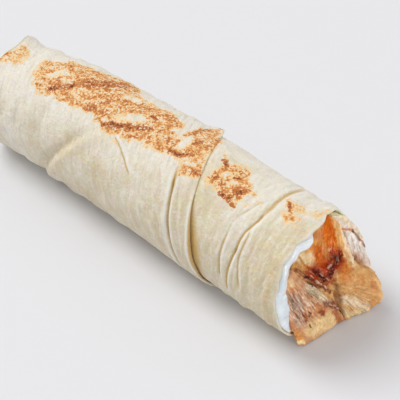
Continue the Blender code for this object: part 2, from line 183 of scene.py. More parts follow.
@dataclass(frozen=True)
class RollFrame:
    """Where the roll's own frame lies in the frame of the solids, and how the roll bows."""

    mouth_x: float
    axis_y: float
    end_x: float = -174.5
    middle_x: float = -95.0
    middle_reach: float = 70.0
    bow_middle: float = 2.2
    bow_end: float = 1.6
    bow_end_from: float = -125.0

    @classmethod
    def from_solids(cls, lip_lead: float = 2.212, axis_aside: float = 0.886) -> "RollFrame":
        """The roll's frame, from the box of the bread's solid.

        Args:
            lip_lead: How far the solid's lip reaches past the mouth's plane.
            axis_aside: How far the middle of its box lies beside the roll's axis.

        Returns:
            The frame.
        """
        low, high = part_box("flatbread")
        return cls(high.x / MM - lip_lead, (low.y + high.y) / 2 / MM - axis_aside)

    def to_solids(self, points: Array) -> Array:
        """Places in the roll's frame, as metres in the frame of the solids."""
        return (points + np.array([self.mouth_x, self.axis_y, 0.0])) * MM

    def middle(self, x: Array) -> Array:
        """1 at the middle of the roll, less and less towards its ends."""
        return bell(x, self.middle_x, self.middle_reach)

    def bow(self, x: Array) -> Array:
        """How far the roll's axis lies to the back at each x."""
        far = 1 - smooth(x, self.end_x, self.bow_end_from)
        return self.bow_middle * self.middle(x) - self.bow_end * far

    def round_point(self, x: Array, turn: Array, radius: Array) -> Array:
        """Places at this x, turn and radius."""
        y = self.bow(x) - radius * np.sin(turn)
        return np.stack([x, y, AXIS_Z + radius * np.cos(turn)], axis=-1)


@dataclass(frozen=True)
class View:
    """The photograph's view. Pixels are those of its 400 by 400 frame."""

    azimuth: float = degrees(42)
    elevation: float = degrees(45)
    distance: float = 425.0
    target: tuple[float, float, float] = (-62.0, -0.75, 27.0)
    focal: float = 1012.0
    frame_size: int = 400
    sensor: float = 36.0
    first_guess: float = -80.0
    guesses: int = 6

    @property
    def axes(self) -> tuple[Array, Array, Array]:
        """The directions of the picture.

        Returns:
            Unit vectors to the right, up and back towards the viewer.
        """
        sin_a, cos_a = math.sin(self.azimuth), math.cos(self.azimuth)
        sin_e, cos_e = math.sin(self.elevation), math.cos(self.elevation)
        right = np.array([cos_a, sin_a, 0.0])
        back = np.array([sin_a * cos_e, -cos_a * cos_e, sin_e])
        return right, np.cross(back, right), back

    @property
    def place(self) -> Array:
        """Where the viewer is."""
        return np.array(self.target) + self.distance * self.axes[2]

    def pixels(self, points: Array) -> tuple[Array, Array]:
        """The pixel of each place.

        Args:
            points: Places in the roll's frame.

        Returns:
            Pixels to the right and down from the frame's upper left corner.
        """
        right, up, back = self.axes
        seen = points - self.place
        depth = -(seen @ back)
        half = self.frame_size / 2
        return half + self.focal * (seen @ right) / depth, half - self.focal * (seen @ up) / depth

    def on_roll(self, pixel: Pair, roll: RollFrame, radius: float) -> Pair:
        """Where the sight line through a pixel meets the roll.

        Args:
            pixel: The pixel.
            roll: The roll's frame.
            radius: The roll's radius there.

        Returns:
            The place's x and its turn.
        """
        right, up, back = self.axes
        half = self.frame_size / 2
        way = (pixel[0] - half) * right - (pixel[1] - half) * up - self.focal * back
        start = self.place
        x = self.first_guess
        for _ in range(self.guesses):
            y, z = start[1] - float(roll.bow(np.array(x))), start[2] - AXIS_Z
            a = way[1] ** 2 + way[2] ** 2
            b = y * way[1] + z * way[2]
            inside = b * b - a * (y * y + z * z - radius**2)
            far = (-b - math.sqrt(max(0.0, inside))) / a
            x = float(start[0] + far * way[0])
        return x, math.atan2(-(y + far * way[1]), z + far * way[2])

    def build_camera(self, roll: RollFrame) -> None:
        """Adds the camera and makes it the scene's.

        Args:
            roll: The roll's frame.
        """
        data = bpy.data.cameras.new("camera")
        data.sensor_width = self.sensor
        data.lens = self.focal / self.frame_size * self.sensor
        data.clip_start = 0.01
        camera = bpy.data.objects.new("camera", data)
        bpy.context.scene.collection.objects.link(camera)
        turned = Matrix([Vector(axis) for axis in self.axes]).transposed().to_4x4()
        camera.matrix_world = Matrix.Translation(roll.to_solids(self.place)) @ turned
        bpy.context.scene.camera = camera


@dataclass(frozen=True)
class Unrolled:
    """The roll's skin laid flat: x along the roll and the way round it, both in millimetres."""

    roll: RollFrame
    view: View
    radius: float

    def places(self, pixels: Sequence[float]) -> Array:
        """The laid-out places of pixels, given by their two numbers in turn."""
        spots = [self.view.on_roll(pixel, self.roll, self.radius) for pixel in np.reshape(pixels, (-1, 2))]
        return np.array([(x, self.radius * turn) for x, turn in spots])

    def line_distance(self, along: Array, aside: Array, line: Array) -> tuple[Array, Array]:
        """How far places are from a line.

        Args:
            along: The places' x.
            aside: Their way round the roll.
            line: The line's laid-out points.

        Returns:
            The distance, positive on the mouth's side of a line that runs down the front, and
            the nearest place's share of the line's length, from 0 to 1.
        """
        steps = np.diff(line, axis=0)
        lengths = np.linalg.norm(steps, axis=1)
        starts = np.concatenate([[0.0], np.cumsum(lengths)])
        best = np.full(along.shape, np.inf)
        signed, share = np.zeros(along.shape), np.zeros(along.shape)
        for (x, y), (dx, dy), length, start in zip(line[:-1], steps, lengths, starts):
            part = np.clip(((along - x) * dx + (aside - y) * dy) / length**2, 0.0, 1.0)
            off_x, off_y = along - x - part * dx, aside - y - part * dy
            far = np.hypot(off_x, off_y)
            nearer = far < best
            signed = np.where(nearer, np.where(dy * off_x - dx * off_y < 0, -far, far), signed)
            share = np.where(nearer, (start + part * length) / starts[-1], share)
            best = np.minimum(best, far)
        return signed, share

    def inside(self, along: Array, aside: Array, outline: Array) -> Array:
        """How far places are inside a closed outline.

        Args:
            along: The places' x.
            aside: Their way round the roll.
            outline: The outline's laid-out points.

        Returns:
            The distance from the outline, negative outside it.
        """
        closed = np.concatenate([outline, outline[:1]])
        far = np.abs(self.line_distance(along, aside, closed)[0])
        crossings = np.zeros(along.shape, int)
        for (x0, y0), (x1, y1) in zip(closed[:-1], closed[1:]):
            slope = (x1 - x0) / ((y1 - y0) or 1e-9)
            crossings += ((y0 > aside) != (y1 > aside)) & (along < x0 + (aside - y0) * slope)
        return np.where(crossings % 2 == 1, far, -far)


class Note(Enum):
    """What a mesh keeps for each point: the kind of its layer and what its values are called."""

    NUMBER = ("FLOAT", "value")
    COLOUR = ("FLOAT_COLOR", "color")
    SPOT = ("FLOAT_VECTOR", "vector")

    def keep(self, mesh: bpy.types.Mesh, name: str, values: Array) -> None:
        """Keeps values on a mesh's points, under a name that its finish reads."""
        layer = mesh.attributes.new(name, self.value[0], "POINT")
        layer.data.foreach_set(self.value[1], np.asarray(values, np.float32).ravel())


@dataclass(frozen=True)
class MeshMaker:
    """Makes closed meshes from rings of points, and shapes their skin."""

    roll: RollFrame

    def from_rings(self, name: str, rings: Array, first: Array, last: Array) -> Piece:
        """A closed skin over rings, with a point at each end.

        Args:
            name: The object's name.
            rings: Places, by ring, then round the ring, in the roll's frame.
            first: The point that closes the first ring.
            last: The point that closes the last ring.

        Returns:
            The object, its faces pointing outwards, with a smooth shade.
        """
        count, around = rings.shape[:2]
        points = np.concatenate([rings.reshape(-1, 3), [first, last]])
        index = np.arange(count * around).reshape(count, around)
        after = np.roll(index, -1, axis=1)
        quads = np.stack([index[:-1], after[:-1], after[1:], index[1:]], axis=-1).reshape(-1, 4)
        pole, end = count * around, count * around + 1
        caps = [[pole, int(b), int(a)] for a, b in zip(index[0], after[0])]
        caps += [[end, int(a), int(b)] for a, b in zip(index[-1], after[-1])]
        piece = self.closed(name, self.roll.to_solids(points), quads.tolist() + caps)
        bpy.context.scene.collection.objects.link(piece)
        return piece

    @classmethod
    def closed(cls, name: str, points: Array, faces: list[list[int]]) -> Piece:
        """A closed mesh with its faces pointing outwards, as an object.

        Args:
            name: The object's name.
            points: The mesh's places, in metres.
            faces: Its faces.

        Returns:
            The object, with a smooth shade.
        """
        mesh = bpy.data.meshes.new(name)
        mesh.from_pydata(points.tolist(), [], faces)
        mesh.calc_loop_triangles()
        corners = cls.values(mesh.loop_triangles, "vertices", np.int32)
        if np.linalg.det(cls.values(mesh.vertices, "co").astype(float)[corners]).sum() < 0:
            mesh.flip_normals()
        mesh.shade_smooth()
        return bpy.data.objects.new(name, mesh)

    @staticmethod
    def values(items: bpy.types.bpy_prop_collection, name: str, kind: type = np.float32) -> Array:
        """Three numbers of each item of a mesh.

        Args:
            items: The items.
            name: What the numbers are called.
            kind: What they are kept as.

        Returns:
            A row for each item.
        """
        found = np.empty(len(items) * 3, kind)
        items.foreach_get(name, found)
        return found.reshape(-1, 3)

    @classmethod
    def push_out(cls, mesh: bpy.types.Mesh, heights: Array) -> None:
        """Moves each point of a mesh along its normal.

        Args:
            mesh: The mesh.
            heights: How far, in millimetres, one for each point.
        """
        ways = cls.values(mesh.vertex_normals, "vector").astype(float)
        moved = cls.values(mesh.vertices, "co") + ways * heights[:, None] * MM
        mesh.vertices.foreach_set("co", moved.astype(np.float32).ravel())
        mesh.update()


class Shader:
    """A Principled finish put together from nodes."""

    def __init__(self, name: str) -> None:
        """Starts a material.

        Args:
            name: Its name.
        """
        self.material = bpy.data.materials.new(name)
        self.material.use_nodes = True
        self.tree = self.material.node_tree
        self.surface = self.tree.nodes["Principled BSDF"]
        self.place = self.node("TexCoord", {}).outputs["Object"]

    def feed(self, socket: Socket, value: Fed) -> None:
        """Feeds an input.

        Args:
            socket: The input.
            value: A link, a number or three of them.
        """
        if isinstance(value, bpy.types.NodeSocket):
            self.tree.links.new(value, socket)
        elif isinstance(value, tuple) and len(socket.default_value) == 4:
            socket.default_value = (*value, 1.0)
        else:
            socket.default_value = value

    def node(self, kind: str, inputs: dict[str | int, Fed], **settings: str) -> bpy.types.Node:
        """Adds a node.

        Args:
            kind: Its kind.
            inputs: What its inputs are fed with.
            settings: Its other settings.

        Returns:
            The node.
        """
        node = self.tree.nodes.new("ShaderNode" + kind)
        for name, value in settings.items():
            setattr(node, name, value)
        for name, value in inputs.items():
            self.feed(node.inputs[name], value)
        return node

    def set(self, **values: Fed) -> None:
        """Feeds inputs of the surface, with _ for a space in their names."""
        for name, value in values.items():
            self.feed(self.surface.inputs[name.replace("_", " ")], value)

    def kept(self, name: str, kind: str = "Fac") -> Socket:
        """What the points keep under this name: a number, or else its Color or Vector."""
        return self.node("Attribute", {}, attribute_name=name).outputs[kind]

    def shaded(self, colour: Socket, light: Socket) -> Socket:
        """A colour made lighter or darker."""
        return self.node("HueSaturation", {"Color": colour, "Value": light}).outputs["Color"]

    def stretched(self, turned: Colour, scale: Colour) -> Socket:
        """The place in metres, turned and then scaled, for a pattern with a direction."""
        turn = self.node("Mapping", {"Rotation": turned, "Vector": self.place}).outputs["Vector"]
        return self.node("Mapping", {"Scale": scale, "Vector": turn}).outputs["Vector"]

    def noise(
        self,
        size: float,
        detail: float = 3.0,
        roughness: float = 0.55,
        warp: float = 0.0,
        place: "Socket | None" = None,
        output: str = "Fac",
    ) -> Socket:
        """A noise pattern.

        Args:
            size: The size of its bumps in millimetres.
            detail: How many finer layers it has.
            roughness: How strong those are.
            warp: How far it is pulled about by itself.
            place: The coordinates it reads, if not the piece's own.
            output: Fac for values from 0 to 1, or Color.

        Returns:
            The pattern.
        """
        inputs = {"Scale": 1 / (size * MM), "Detail": detail, "Roughness": roughness, "Distortion": warp}
        return self.node("TexNoise", inputs | {"Vector": place or self.place}).outputs[output]

    def tinged(self, colour: Socket, size: float, strength: float) -> Socket:
        """Gives a colour faint spots of other tints.

        Args:
            colour: The colour.
            size: The size of the spots, in millimetres.
            strength: How much they show.

        Returns:
            The spotted colour.
        """
        spots = self.noise(size, 2.0, 0.5, output="Color")
        inputs = {0: strength, 6: colour, 7: spots}
        return self.node("Mix", inputs, data_type="RGBA", blend_type="OVERLAY").outputs[2]

    def sum(self, how: str, first: Fed, second: Fed) -> Socket:
        """Two values put together by a Math node."""
        return self.node("Math", {0: first, 1: second}, operation=how).outputs[0]

    def spread(self, value: Socket, gain: float) -> Socket:
        """A pattern from 0 to 1 made to swing about 0, gain times as strongly."""
        return self.sum("MULTIPLY", self.sum("SUBTRACT", value, 0.5), gain)

    def rise(self, value: Socket, start: float, end: float, low: float = 0.0, high: float = 1.0) -> Socket:
        """A smooth rise from low at start to high at end."""
        inputs = {"Value": value, "From Min": start, "From Max": end, "To Min": low, "To Max": high}
        return self.node("MapRange", inputs, interpolation_type="SMOOTHSTEP").outputs["Result"]

    def mix(self, share: Fed, first: Fed, second: Fed) -> Socket:
        """A colour between two."""
        return self.node("Mix", {0: share, 6: first, 7: second}, data_type="RGBA").outputs[2]

    def laid(self, colour: Fed, layers: Sequence[tuple[Socket, float, float, float, Colour]]) -> Socket:
        """Colours laid over one another.

        Args:
            colour: The lowest.
            layers: The others, each with its pattern, where that starts and ends to show it, how
                strongly it shows at most, and the colour itself.

        Returns:
            The colour that they make.
        """
        for pattern, start, end, most, over in layers:
            colour = self.mix(self.rise(pattern, start, end, 0.0, most), colour, over)
        return colour

    def bump(self, layers: Sequence[tuple[Socket, float]], strength: float = 1.0) -> None:
        """Small relief on the surface.

        Args:
            layers: Each a pattern and its height in millimetres.
            strength: How strongly they all show.
        """
        below = {}
        for pattern, height in layers:
            inputs = {"Strength": strength, "Distance": height * MM, "Height": pattern}
            below = {"Normal": self.node("Bump", inputs | below).outputs["Normal"]}
        self.set(**below)


@dataclass(frozen=True)
class BreadFinish:
    """Thin flatbread: matt cream dough with browned, speckled patches, painted yellow-brown shade in its
    folds and pockets, and painted highlights on their edges.
    """

    cream: Colour = eye(236, 229, 214)
    straw: Colour = eye(220, 204, 168)
    # The white of the dough's dusting, also used for the painted highlights.
    floury_and_highlight: Colour = eye(245, 243, 238)
    dull: Colour = eye(200, 188, 164)
    blush: Colour = eye(226, 214, 206)
    # The colours of the painted shade in folds, pockets and underneath.
    ochre_and_shade: Colour = eye(208, 174, 108)
    umber: Colour = eye(176, 136, 76)
    peach: Colour = eye(243, 210, 158)
    orange: Colour = eye(227, 160, 90)
    brown: Colour = eye(194, 116, 58)
    scorched: Colour = eye(120, 58, 32)
    streaks_lean: float = degrees(-42)
    streaks_scale: Colour = (0.3, 1.0, 1.0)

    def build(self) -> bpy.types.Material:
        """Makes the material, which reads the notes that Flatbread.dress keeps on the points.

        Returns:
            The material.
        """
        shader = Shader("flatbread")
        mottle = shader.noise(2.0, 2, 0.55, 0.2)
        streaky = shader.noise(1.5, 3, 0.6, 0.0, shader.kept("run", "Vector"))
        fine = shader.noise(0.9, 4, 0.7, 0.3)
        broad = shader.noise(6.5, 4, 0.65, 0.2)
        # Straw tone: partly the dough's own, partly painted shade on the lower front and in the hollow.
        warm = shader.sum("ADD", shader.kept("straw_and_shade"), shader.spread(shader.noise(13, 3, 0.6), 1.3))
        dough = (
            (warm, 0.0, 1.0, 1.0, self.straw),
            (mottle, 0.48, 0.74, 0.42, self.floury_and_highlight),
            (streaky, 0.5, 0.26, 0.45, self.floury_and_highlight),
            (fine, 0.44, 0.66, 0.22, self.dull),
            (streaky, 0.5, 0.72, 0.4, self.dull),
            (broad, 0.5, 0.75, 0.5, self.blush),
        )
        skin = shader.tinged(shader.tinged(shader.laid(self.cream, dough), 1.5, 0.14), 4.5, 0.14)
        # Painted highlights on the fold edges and along the lip.
        skin = shader.mix(shader.kept("painted_highlight"), skin, self.floury_and_highlight)
        # Painted shade in the folds, pockets and underside, yellow-brown and deeper umber.
        fold = shader.sum("ADD", shader.kept("ochre_and_shade"), shader.spread(fine, 0.3))
        speck = shader.noise(1.0, 3, 0.7, 0.2)
        blotch = shader.noise(2.6, 2, 0.5, 0.6)
        leaning = shader.stretched((0.0, 0.0, self.streaks_lean), self.streaks_scale)
        streak = shader.noise(1.5, 2, 0.5, 0.3, leaning)
        grain = shader.sum("ADD", shader.spread(speck, 2.6), shader.spread(blotch, 1.2))
        grain = shader.sum("ADD", grain, shader.spread(streak, 0.55))
        tone = shader.sum("MULTIPLY", shader.kept("toast"), shader.sum("ADD", grain, 0.56))
        burnt = shader.sum("MULTIPLY", shader.kept("scorch"), shader.sum("ADD", grain, 0.85))
        crust = (
            (fold, 0.1, 0.75, 1.0, self.ochre_and_shade),
            (fold, 0.75, 1.2, 1.0, self.umber),
            (tone, 0.15, 0.30, 1.0, self.peach),
            (tone, 0.42, 0.60, 1.0, self.orange),
            (tone, 0.66, 0.84, 1.0, self.brown),
            (burnt, 0.40, 0.62, 1.0, self.brown),
            (burnt, 0.80, 1.05, 1.0, self.scorched),
        )
        shader.set(
            Base_Color=shader.laid(skin, crust),
            Roughness=0.62,
            Subsurface_Weight=0.08,
            Subsurface_Scale=0.001,
            Subsurface_Radius=(1.0, 0.55, 0.3),
            Specular_IOR_Level=0.3,
        )
        shader.bump([(broad, 0.7), (mottle, 0.4), (fine, 0.25), (speck, 0.14), (streaky, 0.4)], 0.95)
        return shader.material


@dataclass
class Flatbread:
    """The rolled sheet: a toasted outer side with a loose flap, a cut mouth and a folded end."""

    roll: RollFrame
    view: View
    grain: Grain
    maker: MeshMaker
    radius: float = 26.2
    swell: float = 0.5
    neck: float = 2.6
    neck_at: Pair = (-172.0, 18.0)
    lumps: Rows = ((0.55, 0, 23.0), (0.28, 50, 9.0), (0.08, 90, 3.6))
    fine_ripples: Rows = ((0.28, 30, 3.9), (0.17, 60, 1.9))
    mouth_x: float = -2.2
    mouth_lean: float = 4.0
    mouth_waves: Rows = ((0.3, 3, 0.8), (0.26, 11, 2.0), (0.15, 23, 0.0))
    mouth_tongues: Rows = ((2.6, -3, 15), (2.0, 13, 7), (-1.3, -46, 10))
    lip_ruffle: Rows = ((0.22, 9, 1.0), (0.16, 19, 0.0))
    end_ears: Rows = ((7.2, -44, 28), (3.0, 136, 28))
    end_puff: float = 5.0
    end_roundness: float = 0.65
    end_rise: float = 1.2
    end_lifted: float = 24.0
    end_seam: float = degrees(-44)
    sheet: float = 1.3
    lip: float = 0.95
    wall: float = 2.3
    wall_steps: tuple[Pair, ...] = (
        (-0.8, 1.15), (-2.5, 1.3), (-6.0, 1.6), (-12.0, 2.2), (-30.0, 2.3), (-60.0, 2.3),
    )
    flap_tip_x: float = -85.0
    flap_tip_turn: float = degrees(-84)
    flap_half_tip: float = 4.0
    hidden_slope: float = 14.3
    free_reach: float = 19.9
    free_power: float = 0.65
    fade: Pair = (degrees(128), degrees(158))
    pleat_steps: tuple[float, ...] = (-0.8, -0.5, -0.28, -0.1, 0.08, 0.26, 0.45, 0.7, 1.0, 1.4, 1.9)
    columns: int = 290
    collar_x: float = -31.5
    rows: dict[str, int] = field(
        default_factory=lambda: dict(end=40, far=46, hidden=22, front=74, pleats=20, open=30, collar=60)
    )

    def __post_init__(self) -> None:
        """Lays the skin out flat, for marks and creases."""
        self.flat = Unrolled(self.roll, self.view, self.radius + 0.8)

    def turns(self) -> Array:
        """The columns' places round the roll.

        Returns:
            Their turns, closest together on the front and the top.
        """
        fine = np.linspace(-math.pi, math.pi, 2001)
        shown = smooth(fine, degrees(-80), degrees(-55)) * (1 - smooth(fine, degrees(128), degrees(150)))
        density = 1 + 1.3 * shown
        reached = np.concatenate([[0.0], np.cumsum((density[1:] + density[:-1]) / 2)])
        wanted = np.linspace(0.0, reached[-1], self.columns + 1)[:-1]
        return np.interp(wanted, reached, fine)

    def mouth(self, turn: Array) -> Array:
        """Where the bread ends at the mouth."""
        uneven = waves(turn, self.mouth_waves) + humps(turn, self.mouth_tongues)
        return self.mouth_x - self.mouth_lean * np.cos(turn + degrees(10)) + uneven

    def end(self, turn: Array) -> Array:
        """Where the folded end begins, drawn out to ears at the back and under the front."""
        return self.roll.end_x - humps(turn, self.end_ears)

    def flap_edges(self, turn: Array) -> tuple[Array, Array]:
        """Where the flap's edges run.

        Args:
            turn: The turns to read.

        Returns:
            The x of its hidden edge and of its free edge.
        """
        along = (turn - self.flap_tip_turn) % (2 * math.pi)
        last = self.fade[1] - self.flap_tip_turn
        reach = np.minimum(along, last) * (1 - smooth(along, last, 2 * math.pi))
        free = self.flap_tip_x + np.hypot(self.flap_half_tip, self.free_reach * reach**self.free_power)
        hidden = self.flap_tip_x - np.hypot(self.flap_half_tip, self.hidden_slope * reach)
        return hidden, free

    def flap_present(self, turn: Array) -> Array:
        """Where the flap lies on the roll.

        Args:
            turn: The turns.

        Returns:
            1 where it lies and 0 elsewhere.
        """
        along = (turn - self.flap_tip_turn) % (2 * math.pi) + self.flap_tip_turn
        begun = smooth(along, self.flap_tip_turn, self.flap_tip_turn + degrees(6))
        return begun * (1 - smooth(along, *self.fade))

    def gape(self, turn: Array) -> Array:
        """How open the free edge stands, from 0 where it lies tight to 1."""
        return hump(turn, 80, 30) * front(turn, 40, 128)

    def pleat(self, turn: Array) -> Array:
        """The x of the pleat that runs beside the free edge."""
        hidden, free = self.flap_edges(turn)
        return free - np.minimum(11.8, 0.4 * (free - hidden))

    def body_radius(self, x: Array, turn: Array) -> Array:
        """The roll's form under the flap.

        Args:
            x: Where along the roll.
            turn: Where round it.

        Returns:
            The radius, with the roll's lumps, ripples and creases and its uneven lip.
        """
        swell = self.swell * self.roll.middle(x)
        neck = self.neck * bell(x, *self.neck_at) * (0.5 + 0.5 * np.cos(turn - self.end_seam))
        places = self.roll.round_point(x, turn, np.full_like(x, self.radius))
        lumps = self.grain.mixed(places, self.lumps)
        flare = smooth(x, self.mouth(turn) - 7.0, self.mouth(turn))
        ruffle = 0.4 * hump(turn, -36, 9) + waves(turn, self.lip_ruffle)
        settled = swell - neck + lumps + self.ripples(x, turn) + self.valley(x, turn) + flare * ruffle
        return self.radius + settled + self.creases(x, turn)

    def ripples(self, x: Array, turn: Array) -> Array:
        """Soft folds and fine ripples that run the way the sheet was wrapped.

        Args:
            x: Where along the roll.
            turn: Where round it.

        Returns:
            The height that they add.
        """
        run = self.wrapped(x, turn)
        far = 1 - smooth(x, -126.0, -112.0)
        far = far + 0.7 * front(turn, -150, -70) * (1 - far)
        folds = (0.3 + 0.5 * far) * self.grain.at(run, 8.5)
        fine = self.grain.mixed(run, self.fine_ripples)
        crinkled = 1 + 0.7 * smooth(x, -50.0, -25.0)
        return (folds + crinkled * fine) * (1 - 0.4 * front(turn, 140, 180, 20))

    def wrapped(self, x: Array, turn: Array) -> Array:
        """Places for a pattern that follows the sheet.

        Args:
            x: Where along the roll.
            turn: Where round it.

        Returns:
            Places that change fast across the way the sheet was wrapped and slowly along it.
        """
        _, free = self.flap_edges(turn)
        leaning = 1 - smooth(x, -60.0, -36.0)
        across = x - leaning * (free + 47.0)
        return np.stack([across, 0.16 * self.radius * turn, np.full_like(x, 4.0)], axis=-1)

    def valley(self, x: Array, turn: Array) -> Array:
        """The hollow that runs along the flap's hidden edge on the front."""
        hollow, _ = self.tucked(turn)
        return -1.5 * bell(x, hollow, 3.4) * self.tuck_shown(turn)

    def tuck_shown(self, turn: Array) -> Array:
        """1 on the front, where the hollow beside the hidden edge shows, and 0 elsewhere."""
        return front(turn, 44, 122, 20)

    def tucked(self, turn: Array) -> tuple[Array, Array]:
        """What runs beside the flap's hidden edge.

        Args:
            turn: The turns to read.

        Returns:
            The x of the hollow and of the ridge.
        """
        hidden, _ = self.flap_edges(turn)
        here = turn_between(turn, 0.0)
        hollow = hidden + np.clip(3.6 - 4.9 * (here - degrees(40)), -1.4, 4.2)
        return hollow, hidden + np.clip(9.2 - 9.0 * (here - degrees(48)), 1.2, 10.0)

    def creases(self, x: Array, turn: Array) -> Array:
        """The height that the folds of the skin add."""
        lines = self.crease_lines(x, self.flat.radius * turn)
        return sum(crease.height(off, share) for crease, off, share in lines)

    def crease_lines(self, x: Array, arc: Array) -> list[tuple["Crease", Array, Array]]:
        """Each crease, with how far places are from it and their shares of its length."""
        flat = self.flat
        return [(crease, *flat.line_distance(x, arc, flat.places(crease.pixels))) for crease in CREASES]

    def flap_top(self, x: Array, turn: Array) -> Array:
        """The flap's outer side.

        Args:
            x: Where along the roll.
            turn: Where round it.

        Returns:
            How far it stands above the roll.
        """
        _, free = self.flap_edges(turn)
        hollow, crest = self.tucked(turn)
        sheet = self.sheet * (0.48 + 0.52 * front(turn, 48, 150, 20))
        ridge = 0.25 * bell(x, crest, 2.6) * front(turn, 50, 122, 16)
        lifted = 1.9 * hump(turn, -52, 11) * bell(x, free, 7.0) + 0.8 * self.gape(turn) * bell(x, free, 5.0)
        return (sheet + ridge + lifted) * smooth(x, hollow - 1.0, crest) * self.flap_present(turn)

    def pleats(self, x: Array, turn: Array) -> Array:
        """The sharp pleat beside the free edge, with lower ridges between the two.

        Args:
            x: Where along the roll.
            turn: Where round it.

        Returns:
            The height that they add.
        """
        line = self.pleat(turn)
        _, free = self.flap_edges(turn)
        off = x - line
        groove = -0.95 * np.where(off < 0.3, bell(off, 0.3, 0.32), bell(off, 0.3, 0.9))
        beside = 0.5 * bell(off, -1.2, 1.1) + 0.35 * bell(off, 2.4, 1.0)
        share = off / (free - line)
        ripple = 0.5 - np.abs(np.sin(share * 3.2 * math.pi + 0.5 * np.sin(2.2 * turn)))
        ripple *= 0.6 * smooth(off, 1.2, 2.6) * (1 - smooth(x, free - 2.2, free - 0.8))
        return front(turn, 34, 120, 8) * (groove + beside + ripple)

    def skin_radius(self, x: Array, turn: Array) -> Array:
        """The outer side's radius, with the flap on it."""
        return self.body_radius(x, turn) + self.flap_top(x, turn) + self.pleats(x, turn)

    def open_radius(self, x: Array, turn: Array) -> Array:
        """The radius of the roll beside the free edge, where it sinks under the flap."""
        _, free = self.flap_edges(turn)
        return self.body_radius(x, turn) - 0.5 * self.gape(turn) * bell(x, free + 0.2, 3.0)

    def fold_rows(self, turn: Array) -> tuple[Array, Array]:
        """The free edge: round the sheet's edge, back under it, and out again along the roll.

        Args:
            turn: The columns' turns.

        Returns:
            The x and the radius of each row at each turn.
        """
        _, free = self.flap_edges(turn)
        top, base = self.skin_radius(free, turn), self.open_radius(free, turn)
        gaping = self.gape(turn) + 0.5 * hump(turn, -50, 12)
        thick = np.minimum(0.85 + 1.8 * gaping, 0.97 * (top - base))
        pocket = 1.4 + 2.8 * gaping
        under = top - thick
        rows = []
        for angle in np.radians(np.linspace(80, -90, 7)):
            rows.append((free - 0.5 + 0.5 * math.cos(angle), top - 0.5 * thick * (1 - math.sin(angle))))
        for share in (0.35, 0.7, 1.0):
            rows.append((free - 0.5 - pocket * share, under + (base + 0.12 - under) * share**1.5))
        for share in (1.03, 0.75, 0.4, 0.1, -0.15):
            rows.append((free - 0.5 - pocket * share, base - 0.2 * gaping * (1 - abs(share - 0.2))))
        xs, radii = np.array(rows).swapaxes(0, 1)
        plain = free + np.linspace(-0.4, 0.4, len(xs))[:, None]
        keep = smooth(self.flap_present(turn), 0.0, 0.35)
        return plain + (xs - plain) * keep, base + (radii - base) * keep

    def end_rows(self, turn: Array) -> Array:
        """The folded end, from near its middle to the roll's edge.

        Args:
            turn: The columns' turns.

        Returns:
            The places of its rows.
        """
        rows = []
        edge = self.end(turn)
        rim = self.skin_radius(edge, turn)
        for row in range(1, self.rows["end"]):
            tilt = row / self.rows["end"] * math.pi / 2
            share = math.sin(tilt) ** self.end_roundness
            x = self.roll.end_x + (edge - self.roll.end_x) * share
            x = x - self.end_puff * math.cos(tilt) ** self.end_roundness - self.end_fold(turn, share)
            points = self.roll.round_point(x, turn, rim * share)
            points[..., 2] = np.maximum(points[..., 2], self.end_rise * (1 + 4 * (1 - share)))
            rows.append(points)
        return np.array(rows)

    def end_fold(self, turn: Array, share: float) -> Array:
        """The relief of the folded end: a lap with a curved seam, two tucks and rolled layers.

        Args:
            turn: The columns' turns.
            share: How far out from its middle.

        Returns:
            How far it stands out.
        """
        from_seam = turn_between(turn, self.end_seam)
        out = np.array(share)
        across = share * self.radius * np.sin(from_seam)
        along = share * self.radius * np.cos(from_seam)
        lap = 2.4 * smooth(across - 4.0 - 0.012 * along**2, -1.0, 1.0)
        corner = np.minimum(np.abs(from_seam), math.pi - np.abs(from_seam))
        tuck = 2.0 * (1 - smooth(corner, degrees(24), degrees(36))) * smooth(out, 0.3, 0.55)
        ring = (np.hypot(across * 1.25, along) / 6.2 + from_seam / (2 * math.pi)) % 1.0
        layer = 0.4 * smooth(ring, 0.0, 0.2) * (1 - ring) * smooth(out, 0.06, 0.2)
        return (lap - tuck + layer) * (1 - smooth(out, 0.8, 0.97))

    def outer_rows(self, turn: Array) -> tuple[Array, Array]:
        """The outer side's rows, from the folded end to the mouth.

        Args:
            turn: The columns' turns.

        Returns:
            The x and the radius of each row at each turn.
        """
        hidden, free = self.flap_edges(turn)
        pleat, last = self.pleat(turn), self.pleat(turn) + self.pleat_steps[-1]
        xs = self.between(self.end(turn), hidden - 3.0, "far")
        xs += self.between(hidden - 3.0, hidden + 10.0, "hidden")
        xs += self.between(hidden + 10.0, pleat + self.pleat_steps[0] - 0.3, "front")
        xs += [pleat + step for step in self.pleat_steps] + self.between(last, free - 0.42, "pleats")[1:]
        beyond = self.between(free + 0.6, self.collar_x, "open")
        beyond = np.array(beyond + self.between(self.collar_x, self.mouth(turn), "collar"))
        xs = np.array(xs)
        fold_x, fold_radii = self.fold_rows(turn)
        radii = self.skin_radius(xs, np.broadcast_to(turn, xs.shape))
        plain = self.open_radius(beyond, np.broadcast_to(turn, beyond.shape))
        return np.concatenate([xs, fold_x, beyond]), np.concatenate([radii, fold_radii, plain])

    def between(self, start: "Array | float", stop: "Array | float", part: str) -> list[Array]:
        """Even rows from start to just before stop, as many as this part of the roll has."""
        count = self.rows[part]
        return [start + (stop - start) * (row / count) for row in range(count)]

